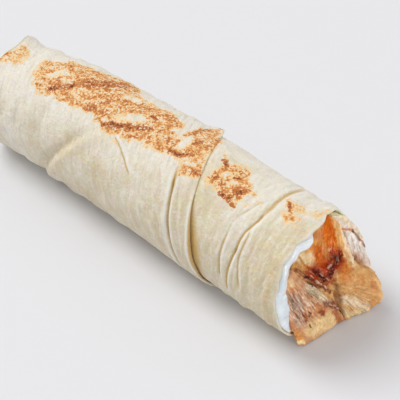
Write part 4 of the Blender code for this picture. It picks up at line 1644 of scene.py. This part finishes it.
@dataclass
class ChickenStrip:
    """A strip of chicken: its section in the mouth's plane, its head and its painted surface."""

    name: str
    node: str
    centre: Pair
    sides: Sequence[Sequence[Joint]]
    head: Head
    skin: Colour
    dabs: tuple[Dab, ...]
    fibres: tuple[Fibres, ...]
    edge_drop: float = 1.8
    joint_drop: float = 0.5
    rim: float = 0.86
    crag: float = 0.45
    painted_glint_strength: float = 0.3
    stringy: float = 1.5
    bits: tuple["Scatter", ...] = ()
    spreads: Rows = ((7.2, -135, 25), (5.5, 149, 18), (-3.0, -88, 25))
    edge_waves: Rows = ((1.0, 7, 1.0), (0.8, 17, 0.0), (0.6, 31, 2.0))
    deep: tuple[float, ...] = (-60.0, -40.0, -25.0)
    inner_x: float = -15.0
    frayed: tuple[Rows, Rows] = (
        ((1.6, 31, 2.6), (1.2, 47, 1.0)),
        ((1.6, 61, 2.6), (1.2, 77, 1.0)),
    )
    columns: int = 300
    inner_rings: int = 14
    outer_rings: int = 30
    rim_rings: int = 15
    head_rings: int = 80
    innermost: float = 0.012
    halvings: int = 40
    sharpness: float = 20

    def outline(self, filling: Filling) -> tuple[Array, Array]:
        """The section's edge.

        Args:
            filling: The space that the strip fills.

        Returns:
            The way from the centre to the edge, for each column, and how far that is a shared joint.
        """
        around = np.linspace(0, 2 * math.pi, self.columns, endpoint=False)
        way = np.stack([np.cos(around), np.sin(around)], axis=-1)
        near, far = np.zeros(self.columns), np.full(self.columns, 80.0)
        for _ in range(self.halvings):
            middle = (near + far) / 2
            y = self.centre[0] + way[:, 0] * middle
            z = self.centre[1] + way[:, 1] * middle - AXIS_Z
            inside = np.hypot(y, z) < filling.room(np.arctan2(-y, z))
            near, far = np.where(inside, middle, near), np.where(inside, far, middle)
        joints = [np.max([joint.reach(self.centre, way) for joint in side], axis=0) for side in self.sides]
        shared = sum((1 / reach) ** self.sharpness for reach in joints)
        total = shared + (1 / near) ** self.sharpness
        ragged = 1 - 0.004 * (1 + waves(around, self.edge_waves)) * (1 - shared / total)
        return way * (total ** (-1 / self.sharpness) * ragged)[:, None], shared / total

    def spread(self, filling: Filling, y: Array, z: Array, x: Array) -> Array:
        """Spreads the strip once it is past the bread.

        Args:
            filling: The space that it fills.
            y: Across the section.
            z: Up in the section.
            x: Where along the roll.

        Returns:
            Places in the roll's frame.
        """
        up = z - AXIS_Z
        turn = np.arctan2(-y, up)
        free = smooth(x - filling.bread.mouth(turn), 0.6, 3.6)
        radius = filling.bread.radius
        grown = 1 + humps(turn, self.spreads) * free * (np.hypot(y, up) / radius) / radius
        return filling.place(x, y * grown, AXIS_Z + up * grown)

    def build(self, filling: Filling, maker: MeshMaker, grain: Grain, view: View) -> Piece:
        """Makes the strip and dresses it.

        Args:
            filling: The space it fills.
            maker: What makes its mesh.
            grain: The noise of its surface.
            view: The photograph's view, for its marks.

        Returns:
            The piece.
        """
        edge, shared = self.outline(filling)
        drop = self.edge_drop * (1 - shared) + self.joint_drop * shared
        y, z = self.centre[0] + edge[:, 0], self.centre[1] + edge[:, 1]
        brim = self.head.at(y, z) - drop
        start = np.minimum(filling.bread.mouth(np.arctan2(-y, z - AXIS_Z)), brim - 0.1)
        rings = [filling.place(np.full_like(y, x), y, z) for x in self.deep]
        for share in np.linspace(0, 1, self.inner_rings + 1)[:-1]:
            rings.append(filling.place(self.inner_x + (start - self.inner_x) * share, y, z))
        for share in np.linspace(0, 1, self.outer_rings + 1)[:-1]:
            rings.append(self.spread(filling, y, z, start + (brim - start) * share))
        rounded = np.sin(np.linspace(math.pi / 2, 0, self.rim_rings + 1))[:-1]
        rounded = self.rim + (1 - self.rim) * rounded
        for share in (*rounded, *np.linspace(self.rim, self.innermost, self.head_rings)):
            at_y, at_z = self.centre[0] + edge[:, 0] * share, self.centre[1] + edge[:, 1] * share
            over = max(0.0, (share - self.rim) / (1 - self.rim))
            x = self.head.at(at_y, at_z) - drop * (1 - math.sqrt(max(0.0, 1 - over * over)))
            rings.append(self.spread(filling, at_y, at_z, x))
        rings = np.array(rings)
        ends = [rings[0].mean(0), rings[-1].mean(0)]
        piece = maker.from_rings(self.name, rings, *ends)
        self.paint(piece.data, np.concatenate([rings.reshape(-1, 3), ends]), grain, view)
        return piece

    def paint(self, mesh: bpy.types.Mesh, points: Array, grain: Grain, view: View) -> None:
        """Lays the dabs and the fibres on the surface: their colour (with painted glints, highlights and
        shade), their relief and their wetness.

        Args:
            mesh: The strip's mesh.
            points: Its points, in the roll's frame.
            grain: The noise of its surface.
            view: The photograph's view.
        """
        px, py = view.pixels(points)
        out = smooth(points[:, 0], -6.0, 0.0)
        warped = points + 1.2 * grain.at(points + 5, 6.0)[:, None]
        height = self.crag * (grain.layered(warped + 23, 4.6, 3) + 0.35 * grain.at(points + 170, 1.3))
        colour = np.tile(eye(*self.skin), (len(points), 1))
        wet = np.full(len(points), 0.25)
        off_x, off_y = [grain.mixed(points, rows) for rows in self.frayed]
        for dab in self.dabs:
            frayed = min(1.0, dab.width / 3.0)
            cover = dab.cover(px + frayed * off_x, py + frayed * off_y)
            colour += (eye(*dab.colour) - colour) * cover[:, None]
            height += dab.height * cover
            wet += (dab.wet - wet) * cover * (dab.wet > 0)
        run, fibrous = points, np.zeros(len(points))
        for fibres in self.fibres:
            places, shown = fibres.at(px + 0.6 * grain.at(points + 13, 3.0), py)
            run = np.where((shown > fibrous)[:, None], 0.42 * places, run)
            fibrous = np.maximum(fibrous, shown)
            pattern = grain.layered(places, fibres.size, 2)
            height += fibres.height * pattern * shown
            broken = smooth(grain.at(points + 93, 1.3), -0.35, 0.35)
            # Painted highlight on the fibres' crests and painted shade in the grooves between them.
            crest = smooth(pattern, 0.1, 0.7) * shown * fibres.contrast * (0.35 + 0.9 * broken)
            colour += (eye(*fibres.pale) - colour) * np.minimum(crest, 1.0)[:, None]
            shade = fibres.contrast * shown * (1.1 - 0.5 * broken) * smooth(-pattern, 0.05, 0.8)
            colour *= (1 - shade)[:, None]
        # Painted glints, scattered where the surface is wet.
        sparkle = smooth(grain.at(points + 200, 0.75), 0.42, 0.72) * smooth(wet, 0.5, 0.9)
        colour += (eye(*GLINT) - colour) * (self.painted_glint_strength * sparkle)[:, None]
        mottle = 0.2 * grain.at(warped + 130, 2.4) + 0.16 * grain.at(points + 150, 0.9)
        colour *= 1 + mottle[:, None] * np.array([0.7, 1.0, 1.3])
        MeshMaker.push_out(mesh, out * height)
        whole = np.concatenate([np.clip(colour, 0.0, 1.0), np.ones((len(points), 1))], axis=1)
        Note.COLOUR.keep(mesh, "tint", whole)
        Note.SPOT.keep(mesh, "run", run * MM)
        numbers = {"wet": wet, "fibrous": fibrous, "bits": out * (wet > 0.5)}
        numbers["out"] = smooth(points[:, 0], 0.0, 2.0)
        for name, values in numbers.items():
            Note.NUMBER.keep(mesh, name, values)
        mesh.materials.append(ChickenFinish(self.node, self.stringy).build())


TOP, NOTCH, RIGHT = (9.5, 51.0), (15.0, 24.4), (24.2, 15.6)
AT_SAUCE, MIDDLE, BASE = (-15.0, 40.0), (2.0, 14.6), (7.0, 1.0)
SCRAP_TOP, SCRAP_FOOT = (15.6, 30.0), (24.0, 19.6)
BACK_RAMPS = ((29.0, 1.0, -0.45), (37.0, 1.0, 0.42), (26.0, -1.0, 0.75))
BACK = Head(-4.2, 0.3, 0.0, (((12.0, 49.0), 1.2, 5.0),), BACK_RAMPS)

CREAM, PEACH = (248, 222, 184), (238, 206, 160)
AMBER, RUST, UMBER = (220, 104, 0), (172, 52, 0), (100, 16, 0)
COAL, GLINT, BISCUIT = (48, 14, 8), (240, 196, 168), (226, 172, 108)

GLAZED_DABS = each(
    Dab,
    ((299, 262, 312, 250), 10, PEACH),
    ((309, 246, 324, 238), 7, (228, 160, 84)),
    ((316, 236, 326, 228), 4, (216, 140, 84)),
    ((329, 214, 328, 228), 6, AMBER, 1.0, 0.0, 0.5),
    ((330, 236, 334, 248), 9, AMBER, 0.95, 0.0, 0.6),
    ((318, 250, 322, 264), 6.5, (206, 98, 14), 1.0, 0.0, 0.6),
    ((340, 240, 342, 250), 4, (226, 130, 40)),
    ((341, 252, 347, 264, 346, 276), 6.5, (218, 130, 56), 1.0, 0.0, 0.5),
    ((293, 266, 302, 268, 312, 272), 5, (206, 146, 74), 0.9, 0.0, 0.7),
    ((300, 258, 303, 264, 310, 270), 1.6, (190, 120, 40), 0.8, 0.0, 0.7),
    ((312, 273, 325, 270, 334, 265, 337, 256), 9, RUST, 1.0, 0.3, 0.9),
    ((332, 280, 322, 284, 314, 282), 5, (160, 70, 22), 0.9, 0.0, 0.8),
    ((311, 270, 317, 272), 2.6, UMBER, 1.0, 0.2, 1.0),
    ((321, 276, 324, 279), 3.0, UMBER, 1.0, 0.3, 1.0),
    ((330, 274, 332, 266, 335, 262), 4.2, UMBER, 1.0, 0.3, 1.0),
    ((334, 257, 338, 256, 338, 260), 3.6, (84, 14, 4), 1.0, 0.4, 1.0),
    # Painted shade along the joint with the tan strip, over a shallow groove.
    ((296, 270, 306, 277, 318, 285, 331, 292), 2.4, (132, 62, 32), 0.9, -0.3, 0.9),
    ((303, 281, 307, 283, 312, 286), 1.8, COAL, 1.0, 0.1, 1.0),
    ((305, 276, 309, 278), 1.4, COAL, 0.9, 0.1, 1.0),
    # Painted glints on the wet char and fibres, in white and paler tints.
    ((330, 249, 329, 250), 1.3, GLINT, 0.9, 0.2, 1.0),
    ((327, 267, 330, 264), 0.9, GLINT, 0.6, 0.25, 1.0),
    ((334, 273, 336, 270), 0.7, GLINT, 0.5, 0.25, 1.0),
    ((323, 253, 324, 255), 0.8, (236, 150, 60), 0.7, 0.2, 1.0),
    ((310, 275, 312, 277), 0.8, GLINT, 0.6, 0.3, 1.0),
    ((315, 280, 317, 282), 1.0, (222, 216, 180), 0.8, 0.3, 1.0),
    ((319, 273, 321, 275), 0.6, GLINT, 0.6, 0.3, 1.0),
    ((326, 278, 328, 280), 0.6, GLINT, 0.5, 0.3, 1.0),
    ((319, 283, 321, 285), 0.8, GLINT, 0.7, 0.3, 1.0),
    ((324, 286, 326, 288), 1.1, GLINT, 0.9, 0.3, 1.0),
    ((329, 284, 331, 286), 0.8, (236, 170, 110), 0.6, 0.3, 1.0),
    # Painted glints in pale pink.
    ((292, 274, 297, 278), 1.3, (236, 200, 176), 0.85, 0.3, 0.9),
    ((300, 281, 302, 283), 1.1, (236, 200, 180), 0.85, 0.3, 0.9),
    ((298, 271, 303, 275), 0.9, (206, 140, 90), 0.7, 0.2, 0.9),
    ((335, 216, 338, 226, 341, 238, 344, 248, 348, 256, 352, 264), 4.2, (240, 190, 124), 0.75),
    ((336, 213, 340, 223, 343, 235, 346, 247, 350, 255, 354, 264), 2.0, CREAM, 1.0, 0.3),
    # Painted highlight along the lit ridge.
    ((344, 254, 350, 261, 354, 268), 1.1, (244, 206, 158), 0.8, 0.3, 0.6),
    ((360, 277, 362, 280), 3.6, (216, 140, 78), 0.8),
    ((374, 284, 376, 287), 4.2, (226, 146, 98), 0.8),
    ((357, 289, 358, 291), 2.0, (188, 116, 50), 0.85),
    ((343, 284, 345, 284), 1.6, (190, 110, 66), 0.8),
    ((344, 294, 345, 295), 1.3, (176, 110, 84), 0.8),
    ((370, 304, 378, 302), 4.5, (226, 158, 78), 0.85),
    ((376, 280, 383, 290, 382, 300), 2.2, (244, 202, 140), 0.85),
    ((352, 282, 366, 292, 374, 294), 9.0, (226, 166, 106), 0.6),
    ((343, 300, 356, 303, 366, 307), 5.0, (240, 212, 178), 0.9),
    ((342, 313, 352, 314, 362, 311), 3.4, (236, 206, 156), 0.9),
    # Painted shade in the gap between the golden end and the tan strip, over a groove.
    ((337, 286, 339, 300, 341, 318), 4.0, (150, 98, 54), 0.9, -0.8),
    ((330, 302, 335, 308), 4.0, (138, 74, 50), 0.9, 0.0, 0.7),
)
TAN_DABS = each(
    Dab,
    ((290, 281, 291, 289), 3.5, (236, 196, 148)),
    ((292, 289, 295, 297), 3.2, (222, 140, 76), 0.9),
    ((294, 300, 300, 318), 9, (200, 160, 136), 0.8, 0.0, 0.8),
    # Painted glints on the wet fibres.
    ((296, 296, 302, 306), 1.0, (244, 226, 210), 0.7, 0.2, 0.9),
    ((293, 303, 297, 310), 0.8, (244, 226, 210), 0.7, 0.2, 0.9),
    ((304, 298, 309, 306), 0.9, (244, 230, 214), 0.6, 0.2, 0.9),
    ((296, 318, 300, 324), 0.8, (240, 220, 204), 0.6, 0.2, 0.9),
    # Painted shade in the grooves between the fibres.
    ((293, 294, 298, 301), 0.8, (120, 70, 44), 0.6, -0.2),
    ((300, 309, 304, 316), 0.8, (124, 74, 50), 0.6, -0.2),
    ((294, 312, 297, 318), 0.7, (124, 74, 50), 0.5, -0.2),
    ((309, 288, 319, 295, 327, 303), 4.0, (228, 204, 166), 0.9, 0.3, 0.6),
    ((318, 305, 324, 309), 4.0, (206, 130, 76), 0.8),
    ((312, 331, 322, 323, 333, 320), 7.5, (242, 206, 150), 1.0),
    ((308, 313, 318, 314), 4.5, (216, 146, 86), 0.7),
    ((295, 334, 300, 338), 5.0, (226, 154, 82), 0.9),
    ((291, 324, 293, 330), 2.4, (204, 140, 100), 0.8),
    ((305, 315, 306, 320), 2.4, (178, 98, 52), 0.9, 0.1, 0.8),
    ((321, 311, 323, 314), 2.5, (150, 70, 34), 0.95, 0.2, 0.9),
    ((310, 312, 309, 316), 1.2, (120, 60, 44), 0.8),
    ((310, 325, 311, 328), 0.9, (92, 62, 40), 0.9),
    ((313, 308, 314, 309), 1.0, (130, 84, 60), 0.8),
    ((326, 304, 333, 305, 336, 308), 3.4, (140, 72, 46), 0.9, 0.1, 0.9),
    ((329, 304, 331, 305), 0.8, GLINT, 0.7, 0.2, 1.0),
    ((334, 305, 337, 308), 0.7, GLINT, 0.6, 0.2, 1.0),
    ((336, 314, 339, 321), 3.4, (176, 96, 48), 0.9, 0.1, 0.6),
    ((296, 336, 297, 337), 1.2, (200, 112, 50), 0.8),
    ((293, 341, 299, 343, 304, 342), 1.6, (248, 216, 160), 0.9),
)
SLICE_DABS = each(
    Dab,
    ((360, 257, 368, 266, 372, 272), 4.0, (232, 200, 184), 0.8),
    ((343, 219, 352, 225, 360, 235, 367, 245), 4.0, (232, 212, 186), 0.9),
    # Painted light: a bright golden patch where the slice's top lies in shade.
    ((332, 214, 338, 213, 346, 217), 3.0, (255, 240, 190)),
    # Painted shadow where the large strip stands in front of the slice.
    ((344, 232, 347, 240, 349, 250), 1.3, (186, 160, 146), 0.9, -0.25),
    ((351, 236, 355, 250), 0.8, (212, 194, 184), 0.7, -0.1),
    ((357, 240, 361, 254), 0.7, (216, 192, 182), 0.6, -0.1),
    ((342, 229, 347, 229, 352, 230), 1.3, (218, 142, 92), 0.95, 0.35),
    ((352, 230, 357, 236, 361, 241, 365, 246), 1.2, (160, 116, 92), 0.9, 0.25),
    ((366, 247, 369, 255, 371, 264, 375, 274), 1.1, (190, 128, 96), 0.85, 0.2),
    ((352, 231, 353, 232), 0.9, (84, 56, 50), 0.9),
    ((365, 245, 366, 247), 1.0, (110, 82, 72), 0.9),
)
SCRAP_DABS = each(
    Dab,
    ((353, 259, 358, 262), 6.5, (196, 148, 112), 0.95),
    ((353, 260, 356, 263), 3.4, (168, 112, 80), 0.85),
    ((357, 269, 366, 271, 372, 273), 1.8, (226, 170, 126), 0.8),
    ((366, 247, 369, 255, 371, 264, 375, 274), 1.1, (190, 128, 96), 0.85, 0.2),
)


def glazed_strip() -> ChickenStrip:
    """The large strip: glazed and charred on top, with a golden torn end."""
    return ChickenStrip(
        "glazed_strip",
        "chicken_glazed",
        (5.0, 27.0),
        [[Joint(AT_SAUCE, MIDDLE), Joint(MIDDLE, BASE)], [Joint(NOTCH, TOP), Joint(RIGHT, NOTCH)]],
        Head(11.0, 0.12, -0.30, (((20.5, 8.0), 9.5, 10.0), ((14.0, 24.0), 3.0, 5.0))),
        BISCUIT,
        GLAZED_DABS,
        (
            Fibres((150, 165), (314, 284), 16, 2.4, 0.45, 0.5, (236, 176, 134)),
            Fibres((322, 280), (358, 304), 26, 2.0, 0.4, 0.34, (255, 232, 198)),
            Fibres((330, 120), (330, 244), 26, 2.8, 0.2, 0.25, (255, 170, 50)),
        ),
        edge_drop=2.4,
        crag=0.62,
        bits=(
            Scatter("glazed_crumbs", Bit.CRUMB, "bits", 60.0, (0.3, 0.8), 11),
            Scatter("glazed_strands", Bit.STRAND, "out", 9.0, (0.35, 0.8), 12),
        ),
    )


def tan_strip() -> ChickenStrip:
    """The strip below the sauce: glistening fibres above, a pale golden cut below."""
    return ChickenStrip(
        "tan_strip",
        "chicken_tan",
        (-7.0, 13.0),
        [[Joint(MIDDLE, AT_SAUCE)], [Joint(BASE, MIDDLE)]],
        Head(10.2, 0.22, -0.26),
        (212, 156, 112),
        TAN_DABS,
        (
            Fibres((190, 150), (300, 304), 22, 1.25, 0.4, 0.5, (255, 244, 232)),
            Fibres((190, 190), (316, 293), 13, 1.6, 0.4, 0.5, (255, 242, 218)),
        ),
        edge_drop=1.5,
        crag=0.6,
        painted_glint_strength=0.7,
        stringy=3.0,
        bits=(
            Scatter("tan_crumbs", Bit.CRUMB, "bits", 40.0, (0.3, 0.7), 13),
            Scatter("tan_strands", Bit.STRAND, "out", 12.0, (0.35, 0.8), 14),
        ),
    )


def pale_slice() -> ChickenStrip:
    """The pale slice at the back, cut across, with a browned outer edge."""
    return ChickenStrip(
        "pale_slice",
        "chicken_slice",
        (18.5, 31.0),
        [[Joint(TOP, NOTCH)], [Joint(NOTCH, RIGHT)]],
        BACK,
        (242, 232, 222),
        SLICE_DABS,
        (Fibres((250, -150), (355, 246), 22, 2.0, 0.15, 0.2, (248, 242, 236)),),
        edge_drop=0.4,
        crag=0.2,
        spreads=((0.8, -80, 45),),
        columns=240,
        head_rings=64,
    )


def dark_scrap() -> ChickenStrip:
    """The small dark scrap between the slice and the large strip."""
    return ChickenStrip(
        "dark_scrap",
        "chicken_scrap",
        (18.2, 24.4),
        [[Joint(TOP, NOTCH)], [Joint(NOTCH, RIGHT)], [Joint(SCRAP_FOOT, SCRAP_TOP)]],
        Head(BACK.base + 1.0, BACK.by_y, BACK.by_z, (), BACK_RAMPS),
        (240, 220, 206),
        SCRAP_DABS,
        (Fibres((250, -150), (356, 260), 16, 2.4, 0.15, 0.2, (220, 180, 150)),),
        edge_drop=1.6,
        crag=0.2,
        spreads=((0.8, -80, 45),),
        columns=160,
        head_rings=34,
    )


class Bit(Enum):
    """The small shapes that are scattered over a surface."""

    CRUMB = "crumb"
    BLISTER = "blister"
    STRAND = "strand"

    def shape(self, grain: Grain, around: int = 8, rows: int = 5) -> Piece:
        """One bit of this kind, about 1 mm across.

        Args:
            grain: The noise that makes it uneven.
            around: How many points go round it.
            rows: How many rows of faces it has.

        Returns:
            A closed mesh of a few dozen faces.
        """
        turns = np.linspace(0, 2 * math.pi, around, endpoint=False)
        points = []
        for row in range(1, rows):
            tilt = math.pi * row / rows
            out = math.sin(tilt)
            up = np.full(around, math.cos(tilt))
            points.append(np.stack([np.cos(turns) * out, np.sin(turns) * out, up], -1))
        points = np.concatenate(points + [[[0, 0, 1.0]], [[0, 0, -1.0]]]) * 0.5
        if self is Bit.CRUMB:
            points *= (1 + 0.45 * grain.at(points * 3 + 9, 1.0))[:, None]
        elif self is Bit.BLISTER:
            points *= (1.0, 0.8, 0.2)
            points *= (1 + 0.3 * grain.at(points * 2 + 5, 1.0))[:, None]
        else:
            points *= (3.0, 0.35, 0.3)
            points[:, 2] += 0.05 * points[:, 0] ** 2
        last = (rows - 1) * around
        index = np.arange(last).reshape(rows - 1, around)
        after = np.roll(index, -1, axis=1)
        faces = np.stack([index[:-1], index[1:], after[1:], after[:-1]], -1).reshape(-1, 4).tolist()
        faces += [[last, int(a), int(b)] for a, b in zip(index[0], after[0])]
        faces += [[last + 1, int(b), int(a)] for a, b in zip(index[-1], after[-1])]
        return MeshMaker.closed(self.value, points * MM, faces)


@dataclass(frozen=True)
class Scatter:
    """Bits spread over a piece, denser where one of its notes is high."""

    name: str
    bit: Bit
    note: str
    per_square_cm: float
    sizes: Pair
    seed: int

    def tree(self) -> bpy.types.NodeTree:
        """Makes the Geometry Nodes tree.

        Returns:
            The tree, with a named input for each thing that can be set.
        """
        tree = bpy.data.node_groups.new("scatter_" + self.name, "GeometryNodeTree")
        sockets = {
            "Surface": "Geometry", "Bit": "Object", "Note": "String", "Density": "Float",
            "Smallest": "Float", "Largest": "Float", "Seed": "Int", "Finish": "Material",
        }
        for name, kind in sockets.items():
            tree.interface.new_socket(name, in_out="INPUT", socket_type="NodeSocket" + kind)
        tree.interface.new_socket("Bits", in_out="OUTPUT", socket_type="NodeSocketGeometry")
        given = tree.nodes.new("NodeGroupInput").outputs
        noted = tree.nodes.new("GeometryNodeInputNamedAttribute")
        dense = tree.nodes.new("ShaderNodeMath")
        dense.operation = "MULTIPLY"
        spread = tree.nodes.new("GeometryNodeDistributePointsOnFaces")
        turned = tree.nodes.new("FunctionNodeRotateRotation")
        turned.rotation_space = "LOCAL"
        spin = tree.nodes.new("FunctionNodeRandomValue")
        spin.data_type = "FLOAT_VECTOR"
        spin.inputs["Max"].default_value = (0.3, 0.3, 2 * math.pi)
        size = tree.nodes.new("FunctionNodeRandomValue")
        numbers = [socket for socket in size.inputs if socket.type == "VALUE" and socket.enabled]
        source = tree.nodes.new("GeometryNodeObjectInfo")
        placed = tree.nodes.new("GeometryNodeInstanceOnPoints")
        real = tree.nodes.new("GeometryNodeRealizeInstances")
        finish = tree.nodes.new("GeometryNodeSetMaterial")
        taken = tree.nodes.new("NodeGroupOutput").inputs
        links = (
            (given["Note"], noted.inputs["Name"]),
            (noted.outputs["Attribute"], dense.inputs[0]),
            (given["Density"], dense.inputs[1]),
            (given["Surface"], spread.inputs["Mesh"]),
            (dense.outputs[0], spread.inputs["Density"]),
            (given["Seed"], spread.inputs["Seed"]),
            (given["Seed"], spin.inputs["Seed"]),
            (given["Seed"], size.inputs["Seed"]),
            (given["Smallest"], numbers[0]),
            (given["Largest"], numbers[1]),
            (spread.outputs["Rotation"], turned.inputs["Rotation"]),
            (spin.outputs["Value"], turned.inputs["Rotate By"]),
            (given["Bit"], source.inputs["Object"]),
            (spread.outputs["Points"], placed.inputs["Points"]),
            (source.outputs["Geometry"], placed.inputs["Instance"]),
            (turned.outputs["Rotation"], placed.inputs["Rotation"]),
            ([out for out in size.outputs if out.enabled][0], placed.inputs["Scale"]),
            (placed.outputs["Instances"], real.inputs["Geometry"]),
            (real.outputs["Geometry"], finish.inputs["Geometry"]),
            (given["Finish"], finish.inputs["Material"]),
            (finish.outputs["Geometry"], taken["Bits"]),
        )
        for start, end in links:
            tree.links.new(start, end)
        return tree

    def build(self, surface: Piece, grain: Grain) -> Piece:
        """Spreads the bits over a piece and turns them into one plain mesh with its finish.

        Args:
            surface: The piece they lie on.
            grain: The noise that shapes them.

        Returns:
            The bits, as a piece of their own.
        """
        material = surface.data.materials[0]
        shape = self.bit.shape(grain)
        shape.data.materials.append(material)
        carrier = bpy.data.objects.new(self.name, surface.data.copy())
        for thing in (shape, carrier):
            bpy.context.scene.collection.objects.link(thing)
        modifier = carrier.modifiers.new("scatter", "NODES")
        modifier.node_group = self.tree()
        values = {
            "Bit": shape, "Note": self.note, "Density": self.per_square_cm * 1e4, "Smallest": self.sizes[0],
            "Largest": self.sizes[1], "Seed": self.seed, "Finish": material,
        }
        for item in modifier.node_group.interface.items_tree:
            if item.name in values:
                modifier[item.identifier] = values[item.name]
        bpy.context.view_layer.update()
        graph = bpy.context.evaluated_depsgraph_get()
        ready = carrier.evaluated_get(graph)
        mesh = bpy.data.meshes.new_from_object(ready, preserve_all_data_layers=True, depsgraph=graph)
        carrier.modifiers.clear()
        carrier.data = mesh
        bpy.data.objects.remove(shape)
        return carrier


@dataclass(frozen=True)
class Sun:
    """A far lamp: where it shines from, how wide it looks and how strong it is."""

    name: str
    shines_from: Colour
    spread: float
    strength: float

    def build(self) -> None:
        """Adds the lamp to the scene."""
        data = bpy.data.lights.new(self.name, "SUN")
        data.energy, data.angle = self.strength, self.spread
        lamp = bpy.data.objects.new(self.name, data)
        lamp.rotation_euler = Vector(self.shines_from).to_track_quat("Z", "Y").to_euler()
        bpy.context.scene.collection.objects.link(lamp)


@dataclass(frozen=True)
class Studio:
    """A plain pale floor under a bright sky, with a soft key light along the roll and a fill."""

    floor_colour: Colour = eye(226, 226, 229)
    floor_half: float = 2.5
    sky: float = 0.56
    suns: tuple[Sun, ...] = (
        Sun("key", (-0.85, -0.18, 1.0), degrees(30), 1.75),
        Sun("fill", (1.0, 0.05, 0.3), degrees(24), 0.9),
    )

    def build(self) -> None:
        """Adds the floor, the lamps and the sky."""
        mesh = bpy.data.meshes.new("floor")
        half = self.floor_half
        corners = [(-half, -half, 0), (half, -half, 0), (half, half, 0), (-half, half, 0)]
        mesh.from_pydata(corners, [], [(0, 1, 2, 3)])
        floor = bpy.data.objects.new("floor", mesh)
        bpy.context.scene.collection.objects.link(floor)
        shader = Shader("floor")
        shader.set(Base_Color=self.floor_colour, Roughness=0.7)
        mesh.materials.append(shader.material)
        for sun in self.suns:
            sun.build()
        world = bpy.data.worlds.new("studio")
        world.use_nodes = True
        background = world.node_tree.nodes["Background"].inputs
        background["Color"].default_value = (1.0, 1.0, 1.0, 1.0)
        background["Strength"].default_value = self.sky
        bpy.context.scene.world = world
        bpy.context.scene.view_settings.view_transform = "Standard"


def keep(piece: Piece, node: str) -> None:
    """Lets a piece ride with the wrap and stand for a node of its solids.

    Args:
        piece: The piece.
        node: The node, which is also the name of its material slot.
    """
    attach(piece, BODY)
    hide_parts(node)
    log.info("%s: %d points", piece.name, len(piece.data.vertices))


def main() -> None:
    """Builds the pieces in order and reports each one."""
    logging.basicConfig(level=logging.INFO, format="%(message)s")
    roll = RollFrame.from_solids()
    view = View()
    maker = MeshMaker(roll)
    grain = Grain(7)
    bread = Flatbread(roll, view, grain, maker)
    filling = Filling(bread)
    roll_piece = bread.build()
    keep(roll_piece, "flatbread")
    for bits in (
        Scatter("bread_blisters", Bit.BLISTER, "toast", 26.0, (0.5, 1.3), 3),
        Scatter("bread_flecks", Bit.CRUMB, "flecks", 5.0, (0.2, 0.5), 5),
    ):
        keep(bits.build(roll_piece, grain), "flatbread")
    keep(WhiteSauce(filling, maker, grain).build(), "white_sauce")
    for strip in (glazed_strip(), tan_strip(), pale_slice(), dark_scrap()):
        piece = strip.build(filling, maker, grain, view)
        keep(piece, strip.node)
        for bits in strip.bits:
            keep(bits.build(piece, grain), strip.node)
    Studio().build()
    view.build_camera(roll)


if __name__ == "__main__":
    main()
